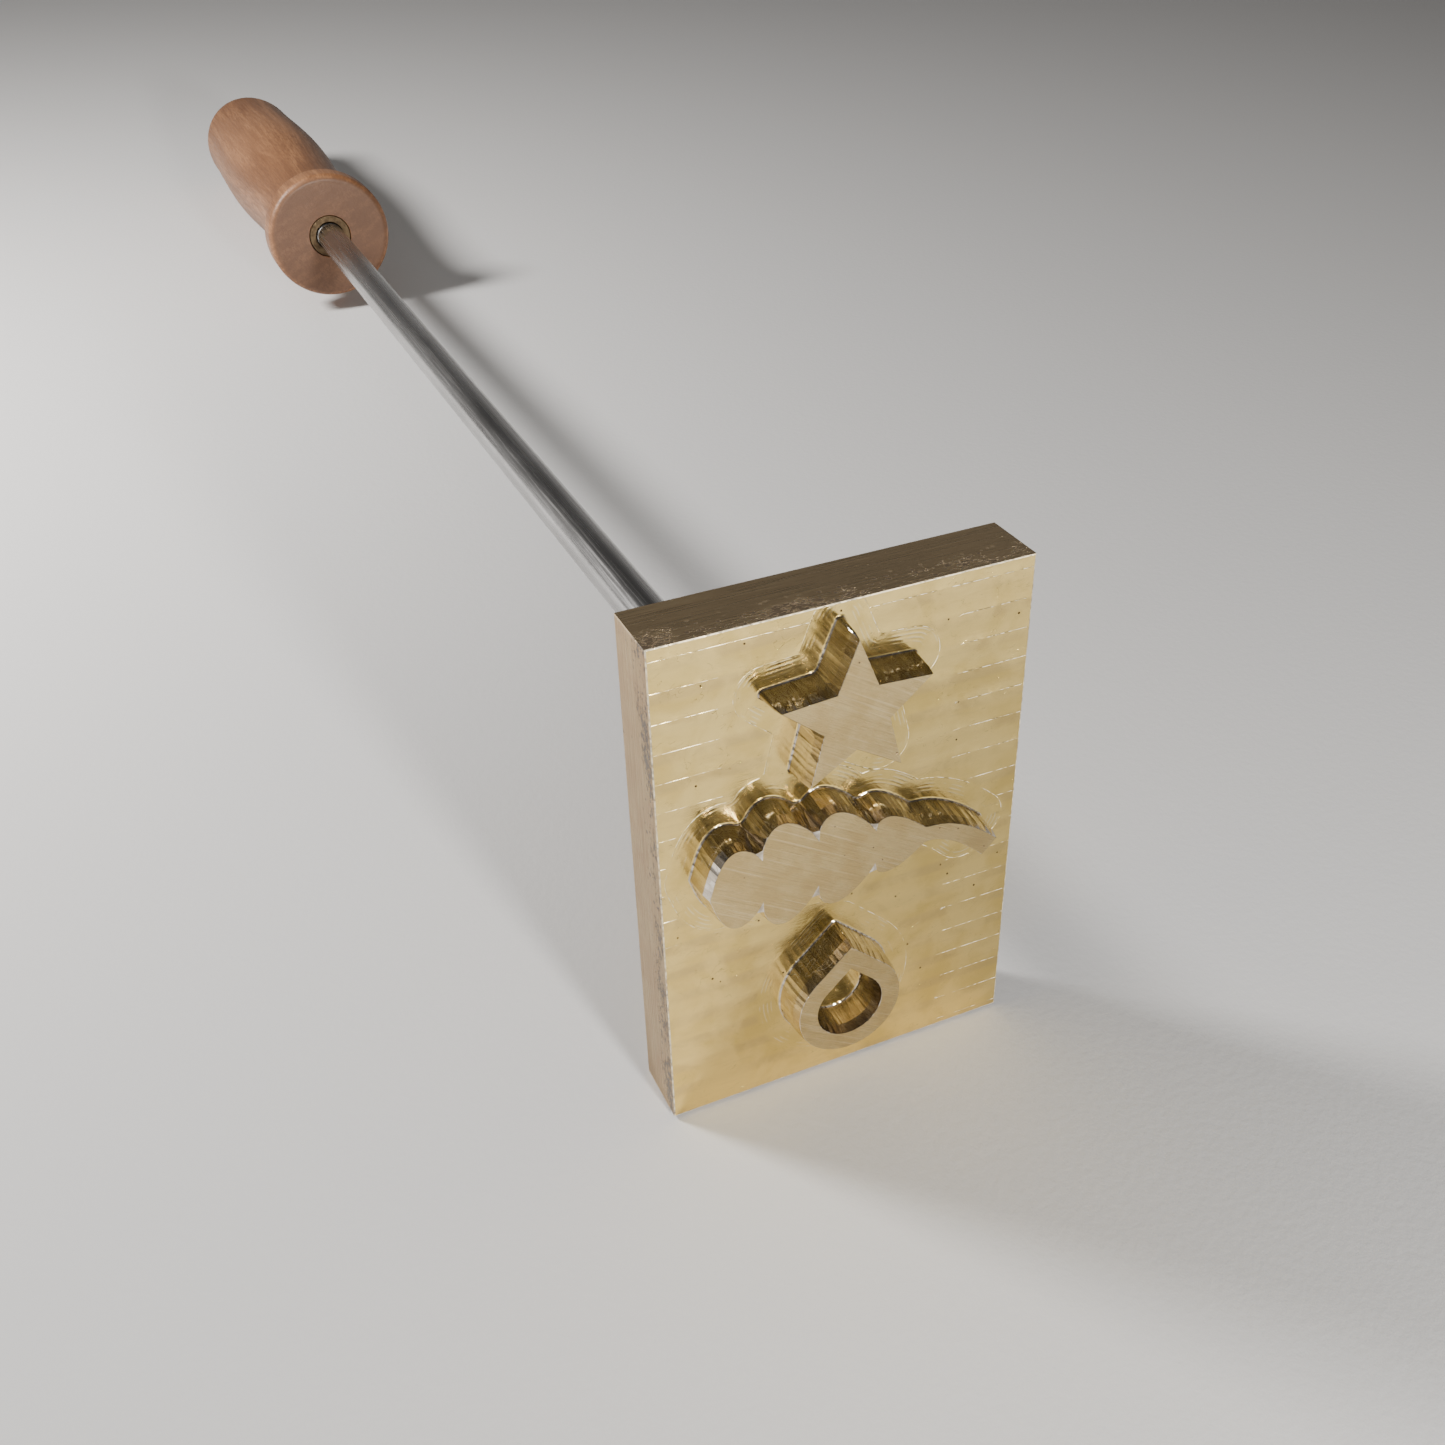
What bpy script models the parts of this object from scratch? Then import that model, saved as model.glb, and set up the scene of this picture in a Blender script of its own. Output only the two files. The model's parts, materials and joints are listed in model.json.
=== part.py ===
"""Leather stamping iron: a milled brass die on a steel rod with a turned wooden handle.

Tool frame: the rod's axis is the Y axis, the die's field lies in the plane y = 0 and faces -Y,
and Z runs up the die.  The empty named tool_axis tilts that frame so that the tool lies on the
floor z = 0, on the lower back edge of the die and on the far end of the handle.
"""
import math

import bmesh
import bpy
import numpy as np
from mathutils import Matrix, Vector
from mathutils.geometry import delaunay_2d_cdt

MM = 0.001

# Die blank
DIE_WIDTH = 41.3 * MM
DIE_HEIGHT = 60.0 * MM
DIE_THICKNESS = 7.8 * MM  # at the field, without the raised figures
EDGE_BREAK = 0.15 * MM
RELIEF_HEIGHT = 4.0 * MM

# The tools that mill the relief: an engraving cone for the upper band and the sharp inner
# corners, and a tapered end mill with a small corner radius for the rest
CONE_SLOPE = math.tan(math.radians(12.0))
BAND_HEIGHT = 1.2 * MM
MILL_FLAT = 0.8 * MM
MILL_CORNER = 0.2 * MM
MILL_TAPER = math.tan(math.radians(4.0))

# Raised figures, in the die's own x and z
STAR_CENTRE = (-1.0 * MM, 19.5 * MM)
STAR_OUTER = 8.5 * MM
STAR_INNER = 3.75 * MM
LEAF_TIP = (-17.0 * MM, 2.6 * MM)
LEAF_LENGTH = 25.0 * MM
LEAF_HALF_WIDTH = 6.4 * MM
LEAF_LOBES = 4
LEAF_POINTS_PER_LOBE = 9
STEM_REACH = (7.2 * MM, -4.2 * MM)
STEM_HALF_WIDTH = 0.95 * MM
DROP_CENTRE = (-1.1 * MM, -17.9 * MM)
DROP_RADIUS = 6.1 * MM
DROP_APEX = 8.4 * MM
DROP_WALL = 2.2 * MM

# M6 x 1 thread; every internal thread is the same profile moved out by THREAD_CLEARANCE
PITCH = 1.0 * MM
THREAD_RADIUS = 2.95 * MM
THREAD_DEPTH = 0.54 * MM
THREAD_CLEARANCE = 0.15 * MM
THREAD_BREAKS = (0.0, 0.125, 0.4375, 0.6875)  # crest, falling flank, root, rising flank
THREAD_SEGMENTS = 18
RUN_OUT = 1.5 * MM

GAP = 0.3 * MM  # between pieces that touch on the real tool

# Stations along the tool's axis
HOLE_BOTTOM = 1.5 * MM
ROD_FRONT = 1.9 * MM
WASHER_THICKNESS = 1.6 * MM
WASHER_INNER = 3.2 * MM
WASHER_OUTER = 5.9 * MM
WASHER_SPLIT = math.radians(9.0)
NUT_THICKNESS = 5.0 * MM
NUT_ACROSS_FLATS = 10.0 * MM
FRONT_THREAD_END = 18.5 * MM
ROD_RADIUS = 3.0 * MM
HANDLE_FRONT = 254.0 * MM
INSERT_LENGTH = 10.0 * MM
INSERT_RADIUS = 4.7 * MM
INSERT_PITCH = 2.4 * MM
INSERT_THREAD_DEPTH = 0.6 * MM
REAR_THREAD_START = HANDLE_FRONT - RUN_OUT
ROD_REAR = 265.5 * MM
BORE_END = 268.0 * MM

# Handle profile
FLANGE_RADIUS = 13.8 * MM
FLANGE_THICKNESS = 7.0 * MM
FLANGE_ROUNDING = 1.5 * MM
NECK_RADIUS = 10.9 * MM
COVE_LENGTH = 8.0 * MM
BELLY_RADIUS = 12.9 * MM
BELLY_STATION = 320.0 * MM
END_RADIUS = 12.2 * MM
DOME_START = 357.0 * MM
HANDLE_END = 371.0 * MM
HANDLE_SEGMENTS = 36


def clear_scene():
    for obj in list(bpy.data.objects):
        bpy.data.objects.remove(obj, do_unlink=True)


def make_material(name, colour, metallic, roughness):
    material = bpy.data.materials.new(name)
    material.use_nodes = True
    shader = material.node_tree.nodes["Principled BSDF"]
    shader.inputs["Base Color"].default_value = (*colour, 1.0)
    shader.inputs["Metallic"].default_value = metallic
    shader.inputs["Roughness"].default_value = roughness
    return material


def finish_object(name, bm, material, parent, sharp_degrees=30.0):
    """A closed mesh with outward faces, as an object under the given empty."""
    bmesh.ops.remove_doubles(bm, verts=bm.verts, dist=0.5e-6)
    open_edges = [edge for edge in bm.edges if len(edge.link_faces) == 1]
    if open_edges:
        bmesh.ops.holes_fill(bm, edges=open_edges, sides=0)
    bmesh.ops.recalc_face_normals(bm, faces=bm.faces)
    mesh = bpy.data.meshes.new(name)
    bm.to_mesh(mesh)
    bm.free()
    mesh.shade_smooth()
    mesh.set_sharp_from_angle(angle=math.radians(sharp_degrees))
    obj = bpy.data.objects.new(name, mesh)
    bpy.context.collection.objects.link(obj)
    obj.parent = parent
    if material:
        mesh.materials.append(material)
    return obj


def make_cutter(obj):
    obj.hide_render = True
    obj.display_type = "WIRE"
    return obj


def cut(obj, cutter, operation="DIFFERENCE"):
    modifier = obj.modifiers.new(cutter.name, "BOOLEAN")
    modifier.operation = operation
    modifier.solver = "EXACT"
    modifier.object = cutter


# ---------------------------------------------------------------- turned and threaded pieces


def around_axis(radius, angle, y):
    """A point on the tool's axis frame; a growing angle and y make a right-hand helix."""
    return Vector((radius * math.sin(angle), y, radius * math.cos(angle)))


def add_surface(bm, columns, shift=0):
    """Faces between neighbouring columns of points round the axis.

    The last column meets the first one `shift` rows further on, as a helix does.
    """
    verts = [[bm.verts.new(point) for point in column] for column in columns]
    last = len(columns[0]) - 1
    for index, left in enumerate(verts):
        closing = index == len(verts) - 1
        right = verts[0] if closing else verts[index + 1]
        step = shift if closing else 0
        for row in range(last):
            near = right[min(row + step, last)]
            far = right[min(row + 1 + step, last)]
            corners = [left[row], left[row + 1], far]
            if near is not far:
                corners.append(near)
            bm.faces.new(corners)


def add_turned(bm, profile, segments):
    """A surface of revolution from (y, radius) pairs."""
    columns = []
    for index in range(segments):
        angle = 2 * math.pi * index / segments
        columns.append([around_axis(radius, angle, y) for y, radius in profile])
    add_surface(bm, columns)


def thread_depth_at(y, angle, pitch, depth):
    """How far the thread lies below its crest at a point of the helix."""
    phase = (y / pitch - angle / (2 * math.pi)) % 1.0
    xs = (*THREAD_BREAKS, 1.0)
    return float(np.interp(phase, xs, (0.0, 0.0, depth, depth, 0.0)))


def add_threaded(bm, start, end, radius_at, pitch, segments):
    """A helical surface from start to end; radius_at gives the radius at (y, angle)."""
    per_turn = len(THREAD_BREAKS)
    first_turn = math.floor(start / pitch) - 1
    turns = math.ceil((end - start) / pitch) + 3
    columns = []
    for index in range(segments):
        angle = 2 * math.pi * index / segments
        column = []
        for row in range(turns * per_turn):
            turn = first_turn + row // per_turn
            y = pitch * (turn + THREAD_BREAKS[row % per_turn] + index / segments)
            y = min(max(y, start), end)
            column.append(around_axis(radius_at(y, angle), angle, y))
        columns.append(column)
    add_surface(bm, columns, shift=per_turn)


def rod_thread_radius(tip, run_out_end):
    """The rod's thread: bevelled at its tip and fading out at run_out_end."""

    def radius_at(y, angle):
        depth = thread_depth_at(y, angle, PITCH, THREAD_DEPTH)
        fade = min(1.0, abs(run_out_end - y) / RUN_OUT)
        crest = THREAD_RADIUS + (ROD_RADIUS - THREAD_RADIUS) * (1.0 - fade)
        bevel = THREAD_RADIUS - THREAD_DEPTH + abs(y - tip)
        return min(crest - depth * fade, bevel)

    return radius_at


def internal_thread_cutter(name, start, end, parent, countersinks=()):
    """A closed cutter for a tapped hole, widened to a countersink at the given stations."""

    def radius_at(y, angle):
        depth = thread_depth_at(y, angle, PITCH, THREAD_DEPTH)
        radius = THREAD_RADIUS + THREAD_CLEARANCE - depth
        for mouth in countersinks:
            radius = max(radius, THREAD_RADIUS + THREAD_CLEARANCE + 0.15 * MM - abs(y - mouth))
        return radius

    bm = bmesh.new()
    add_threaded(bm, start, end, radius_at, PITCH, THREAD_SEGMENTS)
    return make_cutter(finish_object(name, bm, None, parent))


# ---------------------------------------------------------------- outlines of the raised figures


def star_outline():
    points = []
    for index in range(10):
        angle = math.pi / 2 + index * math.pi / 5
        radius = STAR_INNER if index % 2 else STAR_OUTER
        x = STAR_CENTRE[0] + radius * math.cos(angle)
        z = STAR_CENTRE[1] + radius * math.sin(angle)
        points.append((x, z))
    return np.array(points)


def leaf_outline():
    """A lobed leaf from its tip at the left to a curved stem at the right."""
    t = np.linspace(0.0, 1.0, LEAF_LOBES * LEAF_POINTS_PER_LOBE + 1)
    envelope = LEAF_HALF_WIDTH * np.sin(np.pi * t**0.8) ** 0.62
    lobes = np.abs(np.sin(np.pi * LEAF_LOBES * t)) ** 0.62
    half = np.maximum(envelope * (0.46 + 0.54 * lobes), STEM_HALF_WIDTH)
    half[0] = 0.0
    lean = np.where(t > 0.0, 0.28 * (half - STEM_HALF_WIDTH), 0.0)
    x = LEAF_TIP[0] + LEAF_LENGTH * t - lean
    middle = LEAF_TIP[1] + 0.54 * MM * np.sin(np.pi * t)
    upper = np.stack([x, middle + half], 1)
    lower = np.stack([x, middle - half], 1)

    s = np.linspace(0.0, 1.0, 6)[1:]
    centre_x = LEAF_TIP[0] + LEAF_LENGTH + STEM_REACH[0] * s
    centre_z = LEAF_TIP[1] + STEM_REACH[1] * s**1.7
    slope = 1.7 * STEM_REACH[1] * s**0.7 / STEM_REACH[0]
    across = np.stack([-slope, np.ones_like(s)], 1) / np.hypot(1.0, slope)[:, None]
    across *= (STEM_HALF_WIDTH * (1.0 + 0.25 * s))[:, None]
    centre = np.stack([centre_x, centre_z], 1)
    stem_low = centre - across
    stem_high = centre + across
    return np.concatenate([lower, stem_low, stem_high[::-1], upper[::-1][:-1]])


def drop_outline(radius, apex, points=22):
    """A pear-shaped drop: a circle and its two tangents that meet above it."""
    touch = math.acos(radius / apex)
    angles = np.linspace(math.pi / 2 + touch, 2.5 * math.pi - touch, points)
    x = DROP_CENTRE[0] + radius * np.cos(angles)
    z = DROP_CENTRE[1] + radius * np.sin(angles)
    top = [[DROP_CENTRE[0], DROP_CENTRE[1] + apex]]
    return np.concatenate([top, np.stack([x, z], 1)])


def figure_outlines():
    """Outer outlines run anticlockwise and the drop's hole clockwise: metal is on the left."""
    inner_radius = DROP_RADIUS - DROP_WALL
    inner_apex = DROP_APEX * inner_radius / DROP_RADIUS
    hole = drop_outline(inner_radius, inner_apex, points=16)[::-1]
    return [star_outline(), leaf_outline(), drop_outline(DROP_RADIUS, DROP_APEX), hole]


# ---------------------------------------------------------------- milled relief


SAMPLE_STEP = 0.06 * MM
SHARP_TURN = math.radians(25.0)
FAN_STEP = math.radians(18.0)
THINNING = 0.004 * MM


def unit(vector):
    return vector / np.linalg.norm(vector)


def rotated(vector, angle):
    c, s = math.cos(angle), math.sin(angle)
    return np.array([c * vector[0] - s * vector[1], s * vector[0] + c * vector[1]])


def outline_samples(outline):
    """Close samples (point, normal away from the metal) along a closed outline."""
    samples = []
    count = len(outline)
    for index in range(count):
        before, here = outline[index - 1], outline[index]
        after = outline[(index + 1) % count]
        arriving, leaving = unit(here - before), unit(after - here)
        cross = arriving[0] * leaving[1] - arriving[1] * leaving[0]
        turn = math.atan2(cross, float(arriving @ leaving))
        first = np.array([arriving[1], -arriving[0]])
        second = np.array([leaving[1], -leaving[0]])
        if turn > SHARP_TURN:
            fan = math.ceil(turn / FAN_STEP)
            samples += [(here, rotated(first, turn * k / fan)) for k in range(fan + 1)]
        elif turn < -SHARP_TURN:
            samples += [(here, first), (here, second)]
        else:
            samples.append((here, unit(first + second)))
        length = np.linalg.norm(after - here)
        steps = max(1, int(length / SAMPLE_STEP))
        samples += [(here + (after - here) * k / steps, second) for k in range(1, steps)]
    return samples


def distance_to_outlines(points, outlines):
    """Distance from each point to the nearest edge of any outline."""
    nearest = np.full(len(points), np.inf)
    for outline in outlines:
        for start, end in zip(outline, np.roll(outline, -1, axis=0)):
            along = end - start
            t = np.clip((points - start) @ along / (along @ along), 0.0, 1.0)
            gap = points - (start + t[:, None] * along)
            nearest = np.minimum(nearest, np.hypot(gap[:, 0], gap[:, 1]))
    return nearest


def inside_metal(points, outlines):
    """Even-odd test of each point against all the outlines together."""
    inside = np.zeros(len(points), dtype=bool)
    for outline in outlines:
        for start, end in zip(outline, np.roll(outline, -1, axis=0)):
            straddles = (start[1] > points[:, 1]) != (end[1] > points[:, 1])
            if start[1] == end[1]:
                continue
            t = (points[:, 1] - start[1]) / (end[1] - start[1])
            inside ^= straddles & (points[:, 0] < start[0] + t * (end[0] - start[0]))
    return inside


MILL_RADIUS = MILL_FLAT + MILL_CORNER
WALL_TOP = RELIEF_HEIGHT - BAND_HEIGHT
WALL_TOP_RADIUS = MILL_RADIUS + (WALL_TOP - MILL_CORNER) * MILL_TAPER
PATH_OFFSET = BAND_HEIGHT * CONE_SLOPE + WALL_TOP_RADIUS


def mill_height(radius):
    """Height of the end mill's side at a distance from its own axis."""
    inner = np.clip((radius - MILL_FLAT) / MILL_CORNER, 0.0, 1.0)
    corner = MILL_CORNER * (1.0 - np.sqrt(1.0 - inner**2))
    side = MILL_CORNER + (radius - MILL_RADIUS) / MILL_TAPER
    return np.where(radius > MILL_RADIUS, side, corner)


def mill_paths(outlines):
    """Paths of (outline point, normal) that the end mill's axis follows, PATH_OFFSET away.

    Where the axis would come too near the metal, in an inner corner, the path skips the corner
    and turns round the point where its two sides meet.
    """
    paths = []
    for outline in outlines:
        samples = outline_samples(outline)
        axis = np.array([point + PATH_OFFSET * normal for point, normal in samples])
        clear = distance_to_outlines(axis, outlines) > PATH_OFFSET - 0.002 * MM
        start = int(np.argmin(clear))
        path = []
        skipped = False
        for index in (*range(start, len(samples)), *range(start)):
            if not clear[index]:
                skipped = True
                continue
            if skipped and path:
                path = path[:-1] + corner_fan(path[-1], samples[index])
            else:
                path.append(samples[index])
            skipped = False
        if skipped or not clear[start]:
            path = path[:-1] + corner_fan(path[-1], path[0])
        paths.append(path)
    return paths


def corner_fan(arriving, leaving):
    """Samples whose normals turn about the point where two offset sides of a corner meet."""
    (end, end_normal), (start, start_normal) = arriving, leaving
    centre = (end + start + PATH_OFFSET * (end_normal + start_normal)) / 2
    cross = end_normal[0] * start_normal[1] - end_normal[1] * start_normal[0]
    turn = math.atan2(cross, float(end_normal @ start_normal))
    count = 2 * math.ceil(abs(turn) / FAN_STEP / 2)
    normals = [rotated(end_normal, turn * k / count) for k in range(count + 1)]
    return [(centre - PATH_OFFSET * normal, normal) for normal in normals]


def thinned(points):
    """Leaves out the points of a polyline that lie within THINNING of their neighbours' line."""
    if len(points) < 3:
        return points
    first, last = points[0], points[-1]
    chord = last - first
    length = np.linalg.norm(chord)
    inner = points[1:-1] - first
    if length < 1e-9:
        gaps = np.hypot(inner[:, 0], inner[:, 1])
    else:
        gaps = np.abs(inner[:, 0] * chord[1] - inner[:, 1] * chord[0]) / length
    worst = int(np.argmax(gaps)) + 1
    if gaps[worst - 1] <= THINNING:
        return np.array([first, last])
    return np.concatenate([thinned(points[: worst + 1])[:-1], thinned(points[worst:])])


def relief_heights(points, outlines, axis_points):
    """Height of the milled surface over the field at each point."""
    metal = inside_metal(points, outlines)
    to_outline = distance_to_outlines(points, outlines)
    to_axis = np.full(len(points), np.inf)
    for chunk in np.array_split(axis_points, 8):
        gap = points[:, None, :] - chunk[None, :, :]
        to_axis = np.minimum(to_axis, np.hypot(gap[..., 0], gap[..., 1]).min(axis=1))
    milled = np.where(to_outline >= PATH_OFFSET, 0.0, mill_height(to_axis))
    coned = RELIEF_HEIGHT - to_outline / CONE_SLOPE
    height = np.clip(np.minimum(milled, coned), 0.0, RELIEF_HEIGHT)
    height[metal | (to_outline < 1e-8)] = RELIEF_HEIGHT
    return height


def relief_plan():
    """The milled front as triangles in the die's plane, with a height for each point."""
    outlines = figure_outlines()
    paths = mill_paths(outlines)
    mid_corner = MILL_FLAT + MILL_CORNER * math.sin(math.radians(50.0))
    radii = (WALL_TOP_RADIUS, MILL_RADIUS, mid_corner, MILL_FLAT)

    polylines = [(outline, True) for outline in outlines]
    for path in paths:
        for radius in radii:
            curve = np.array([point + (PATH_OFFSET - radius) * normal for point, normal in path])
            polylines.append((thinned(np.concatenate([curve, curve[:1]])), False))
    half = np.array([DIE_WIDTH / 2 - EDGE_BREAK, DIE_HEIGHT / 2 - EDGE_BREAK])
    corners = np.array([[-1, -1], [1, -1], [1, 1], [-1, 1]]) * half
    polylines.append((corners, True))

    points, edges = [], []
    for line, closed in polylines:
        base = len(points)
        points += [Vector((float(x), float(z))) for x, z in line]
        edges += [(base + k, base + k + 1) for k in range(len(line) - 1)]
        if closed:
            edges.append((base + len(line) - 1, base))
    plan, _, triangles, *_ = delaunay_2d_cdt(points, edges, [], 0, 1e-6, True)

    flat = np.array([(p.x, p.y) for p in plan])
    axis_points = [point + PATH_OFFSET * normal for path in paths for point, normal in path]
    heights = relief_heights(flat, outlines, np.array(axis_points))
    return flat, heights, triangles


# ---------------------------------------------------------------- the pieces


def build_die(material, parent):
    plan, heights, triangles = relief_plan()
    bm = bmesh.new()
    front = [bm.verts.new((x, -h, z)) for (x, z), h in zip(plan, heights)]
    for triangle in triangles:
        bm.faces.new([front[index] for index in triangle])
    loops = []
    for y, inset in (
        (0.0, EDGE_BREAK),
        (EDGE_BREAK, 0.0),
        (DIE_THICKNESS - EDGE_BREAK, 0.0),
        (DIE_THICKNESS, EDGE_BREAK),
    ):
        x, z = DIE_WIDTH / 2 - inset, DIE_HEIGHT / 2 - inset
        corners = ((-x, -z), (x, -z), (x, z), (-x, z))
        loops.append([bm.verts.new((cx, y, cz)) for cx, cz in corners])
    for near, far in zip(loops, loops[1:]):
        for k in range(4):
            other = (k + 1) % 4
            bm.faces.new((near[k], near[other], far[other], far[k]))
    bm.faces.new(loops[-1])
    die = finish_object("stamp_plate", bm, material, parent, sharp_degrees=20.0)
    hole = internal_thread_cutter(
        "cutter_die_thread",
        HOLE_BOTTOM,
        DIE_THICKNESS + 0.5 * MM,
        parent,
        countersinks=(DIE_THICKNESS,),
    )
    cut(die, hole)
    return die


def build_rod(material, parent):
    bm = bmesh.new()
    front = rod_thread_radius(ROD_FRONT, FRONT_THREAD_END)
    rear = rod_thread_radius(ROD_REAR, REAR_THREAD_START)
    add_threaded(bm, ROD_FRONT, FRONT_THREAD_END, front, PITCH, THREAD_SEGMENTS)
    add_threaded(bm, REAR_THREAD_START, ROD_REAR, rear, PITCH, THREAD_SEGMENTS)
    add_turned(
        bm,
        [(FRONT_THREAD_END, ROD_RADIUS), (REAR_THREAD_START, ROD_RADIUS)],
        THREAD_SEGMENTS,
    )
    return finish_object("rod", bm, material, parent, sharp_degrees=35.0)


def build_lock_washer(material, parent):
    """A split spring washer, pressed almost flat, with its ends a little out of line."""
    start = DIE_THICKNESS + GAP
    sections = 28
    rise = 0.12 * MM
    bm = bmesh.new()
    rings = []
    for index in range(sections + 1):
        share = index / sections
        angle = WASHER_SPLIT / 2 + (2 * math.pi - WASHER_SPLIT) * share
        y0 = start + rise * share
        y1 = start + WASHER_THICKNESS - rise * (1.0 - share)
        section = ((WASHER_INNER, y0), (WASHER_OUTER, y0), (WASHER_OUTER, y1), (WASHER_INNER, y1))
        rings.append([bm.verts.new(around_axis(r, angle, y)) for r, y in section])
    for near, far in zip(rings, rings[1:]):
        for k in range(4):
            other = (k + 1) % 4
            bm.faces.new((near[k], near[other], far[other], far[k]))
    bm.faces.new(rings[0])
    bm.faces.new(rings[-1])
    washer = finish_object("lock_washer", bm, material, parent)
    bevel = washer.modifiers.new("edge_break", "BEVEL")
    bevel.width = 0.12 * MM
    bevel.segments = 1
    bevel.limit_method = "ANGLE"
    bevel.angle_limit = math.radians(40.0)
    return washer


def build_lock_nut(material, parent):
    """A hexagon nut with its corners turned off at both faces."""
    start = DIE_THICKNESS + WASHER_THICKNESS + 2 * GAP
    end = start + NUT_THICKNESS
    corner = NUT_ACROSS_FLATS / 2 / math.cos(math.pi / 6)
    bm = bmesh.new()
    add_turned(bm, [(start, corner), (end, corner)], 6)
    nut = finish_object("lock_nut", bm, material, parent)

    face = NUT_ACROSS_FLATS / 2 - 0.25 * MM
    outer = corner + 0.5 * MM
    chamfer = (outer - face) * math.tan(math.radians(30.0))
    bm = bmesh.new()
    profile = [(start, 0.0), (start, face), (start + chamfer, outer)]
    profile += [(end - chamfer, outer), (end, face), (end, 0.0)]
    add_turned(bm, profile, 36)
    turned = make_cutter(finish_object("cutter_nut_corners", bm, None, parent))
    cut(nut, turned, "INTERSECT")

    thread = internal_thread_cutter(
        "cutter_nut_thread",
        start - 0.5 * MM,
        end + 0.5 * MM,
        parent,
        countersinks=(start, end),
    )
    cut(nut, thread)
    return nut


def build_handle_insert(material, parent):
    """A brass insert with a coarse wood thread outside and the rod's thread inside."""
    start = HANDLE_FRONT + GAP
    end = start + INSERT_LENGTH

    def radius_at(y, angle):
        depth = thread_depth_at(y, angle, INSERT_PITCH, INSERT_THREAD_DEPTH)
        bevel = INSERT_RADIUS - INSERT_THREAD_DEPTH + min(y - start, end - y)
        return min(INSERT_RADIUS - depth, bevel)

    bm = bmesh.new()
    add_threaded(bm, start, end, radius_at, INSERT_PITCH, THREAD_SEGMENTS)
    insert = finish_object("handle_insert", bm, material, parent)
    thread = internal_thread_cutter(
        "cutter_insert_thread",
        start - 0.5 * MM,
        end + 0.5 * MM,
        parent,
        countersinks=(start, end),
    )
    cut(insert, thread)
    return insert


def eased(start, end, share):
    """A value that leaves start and reaches end without a slope at either."""
    return start + (end - start) * (1.0 - math.cos(math.pi * share)) / 2


def handle_profile():
    """(y, radius) pairs from the flange's front face to the rounded far end."""
    flange_end = HANDLE_FRONT + FLANGE_THICKNESS
    neck = flange_end + COVE_LENGTH
    rounding = FLANGE_ROUNDING
    profile = []
    for k in range(5):
        angle = math.pi / 2 * k / 4
        y = HANDLE_FRONT + rounding * (1.0 - math.sin(angle))
        profile.insert(0, (y, FLANGE_RADIUS - rounding * (1.0 - math.cos(angle))))
    profile.sort()
    for k in range(5):
        angle = math.pi / 2 * k / 4
        y = flange_end - rounding * (1.0 - math.sin(angle))
        profile.append((y, FLANGE_RADIUS - rounding * (1.0 - math.cos(angle))))
    lip = FLANGE_RADIUS - rounding
    for k in range(1, 8):
        angle = math.pi / 2 * k / 7
        y = flange_end + COVE_LENGTH * (1.0 - math.cos(angle))
        profile.append((y, lip - (lip - NECK_RADIUS) * math.sin(angle)))
    for k in range(1, 11):
        y = neck + (BELLY_STATION - neck) * k / 10
        profile.append((y, eased(NECK_RADIUS, BELLY_RADIUS, k / 10)))
    for k in range(1, 7):
        y = BELLY_STATION + (DOME_START - BELLY_STATION) * k / 6
        profile.append((y, eased(BELLY_RADIUS, END_RADIUS, k / 6)))
    for k in range(1, 9):
        angle = math.pi / 2 * k / 8
        y = DOME_START + (HANDLE_END - DOME_START) * math.sin(angle)
        profile.append((y, END_RADIUS * math.cos(angle)))
    return profile


def build_handle(material, parent):
    bore = INSERT_RADIUS + GAP
    insert_seat = HANDLE_FRONT + INSERT_LENGTH + 2 * GAP
    inner = [(BORE_END + 1.5 * MM, 0.0), (BORE_END, ROD_RADIUS + GAP)]
    inner += [(insert_seat, ROD_RADIUS + GAP), (insert_seat, bore), (HANDLE_FRONT, bore)]
    bm = bmesh.new()
    add_turned(bm, inner + handle_profile(), HANDLE_SEGMENTS)
    return finish_object("handle", bm, material, parent)


def resting_tilt():
    """The slope of the axis when the die's back edge and the handle both touch the floor."""
    slopes = []
    for y, radius in handle_profile():
        slopes.append((DIE_HEIGHT / 2 - radius) / (y - DIE_THICKNESS))
    return math.atan(min(slopes))


def rest_on_floor(empty, pieces):
    """Tilts the tool, then puts the middle of its footprint at the origin, on z = 0."""
    tilt = Matrix.Rotation(-resting_tilt(), 4, "X")
    corners = [tilt @ vertex.co for piece in pieces for vertex in piece.data.vertices]
    low = [min(corner[axis] for corner in corners) for axis in range(3)]
    high = [max(corner[axis] for corner in corners) for axis in range(3)]
    empty.rotation_euler = (-resting_tilt(), 0.0, 0.0)
    empty.location = (-(low[0] + high[0]) / 2, -(low[1] + high[1]) / 2, -low[2])


def main():
    clear_scene()
    brass = make_material("brass", (0.66, 0.50, 0.24), 1.0, 0.3)
    steel = make_material("steel", (0.56, 0.56, 0.57), 1.0, 0.25)
    zinc = make_material("zinc_plated_steel", (0.60, 0.61, 0.62), 1.0, 0.35)
    wood = make_material("beech", (0.52, 0.32, 0.19), 0.0, 0.5)

    tool_axis = bpy.data.objects.new("tool_axis", None)
    bpy.context.collection.objects.link(tool_axis)
    pieces = [
        build_die(brass, tool_axis),
        build_rod(steel, tool_axis),
        build_lock_washer(zinc, tool_axis),
        build_lock_nut(zinc, tool_axis),
        build_handle_insert(brass, tool_axis),
        build_handle(wood, tool_axis),
    ]
    rest_on_floor(tool_axis, pieces)


main()
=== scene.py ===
"""Looks of the leather stamping iron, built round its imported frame.

Every piece is modelled in the tool frame that part of the record's die_turn joint gives: Y runs
from the die's field back along the rod, Z up the die, and the field lies in the plane y = 0.
"""
import json
import math

import bmesh
import bpy
import numpy as np
from mathutils import Matrix, Vector, noise
from mathutils.geometry import delaunay_2d_cdt


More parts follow.
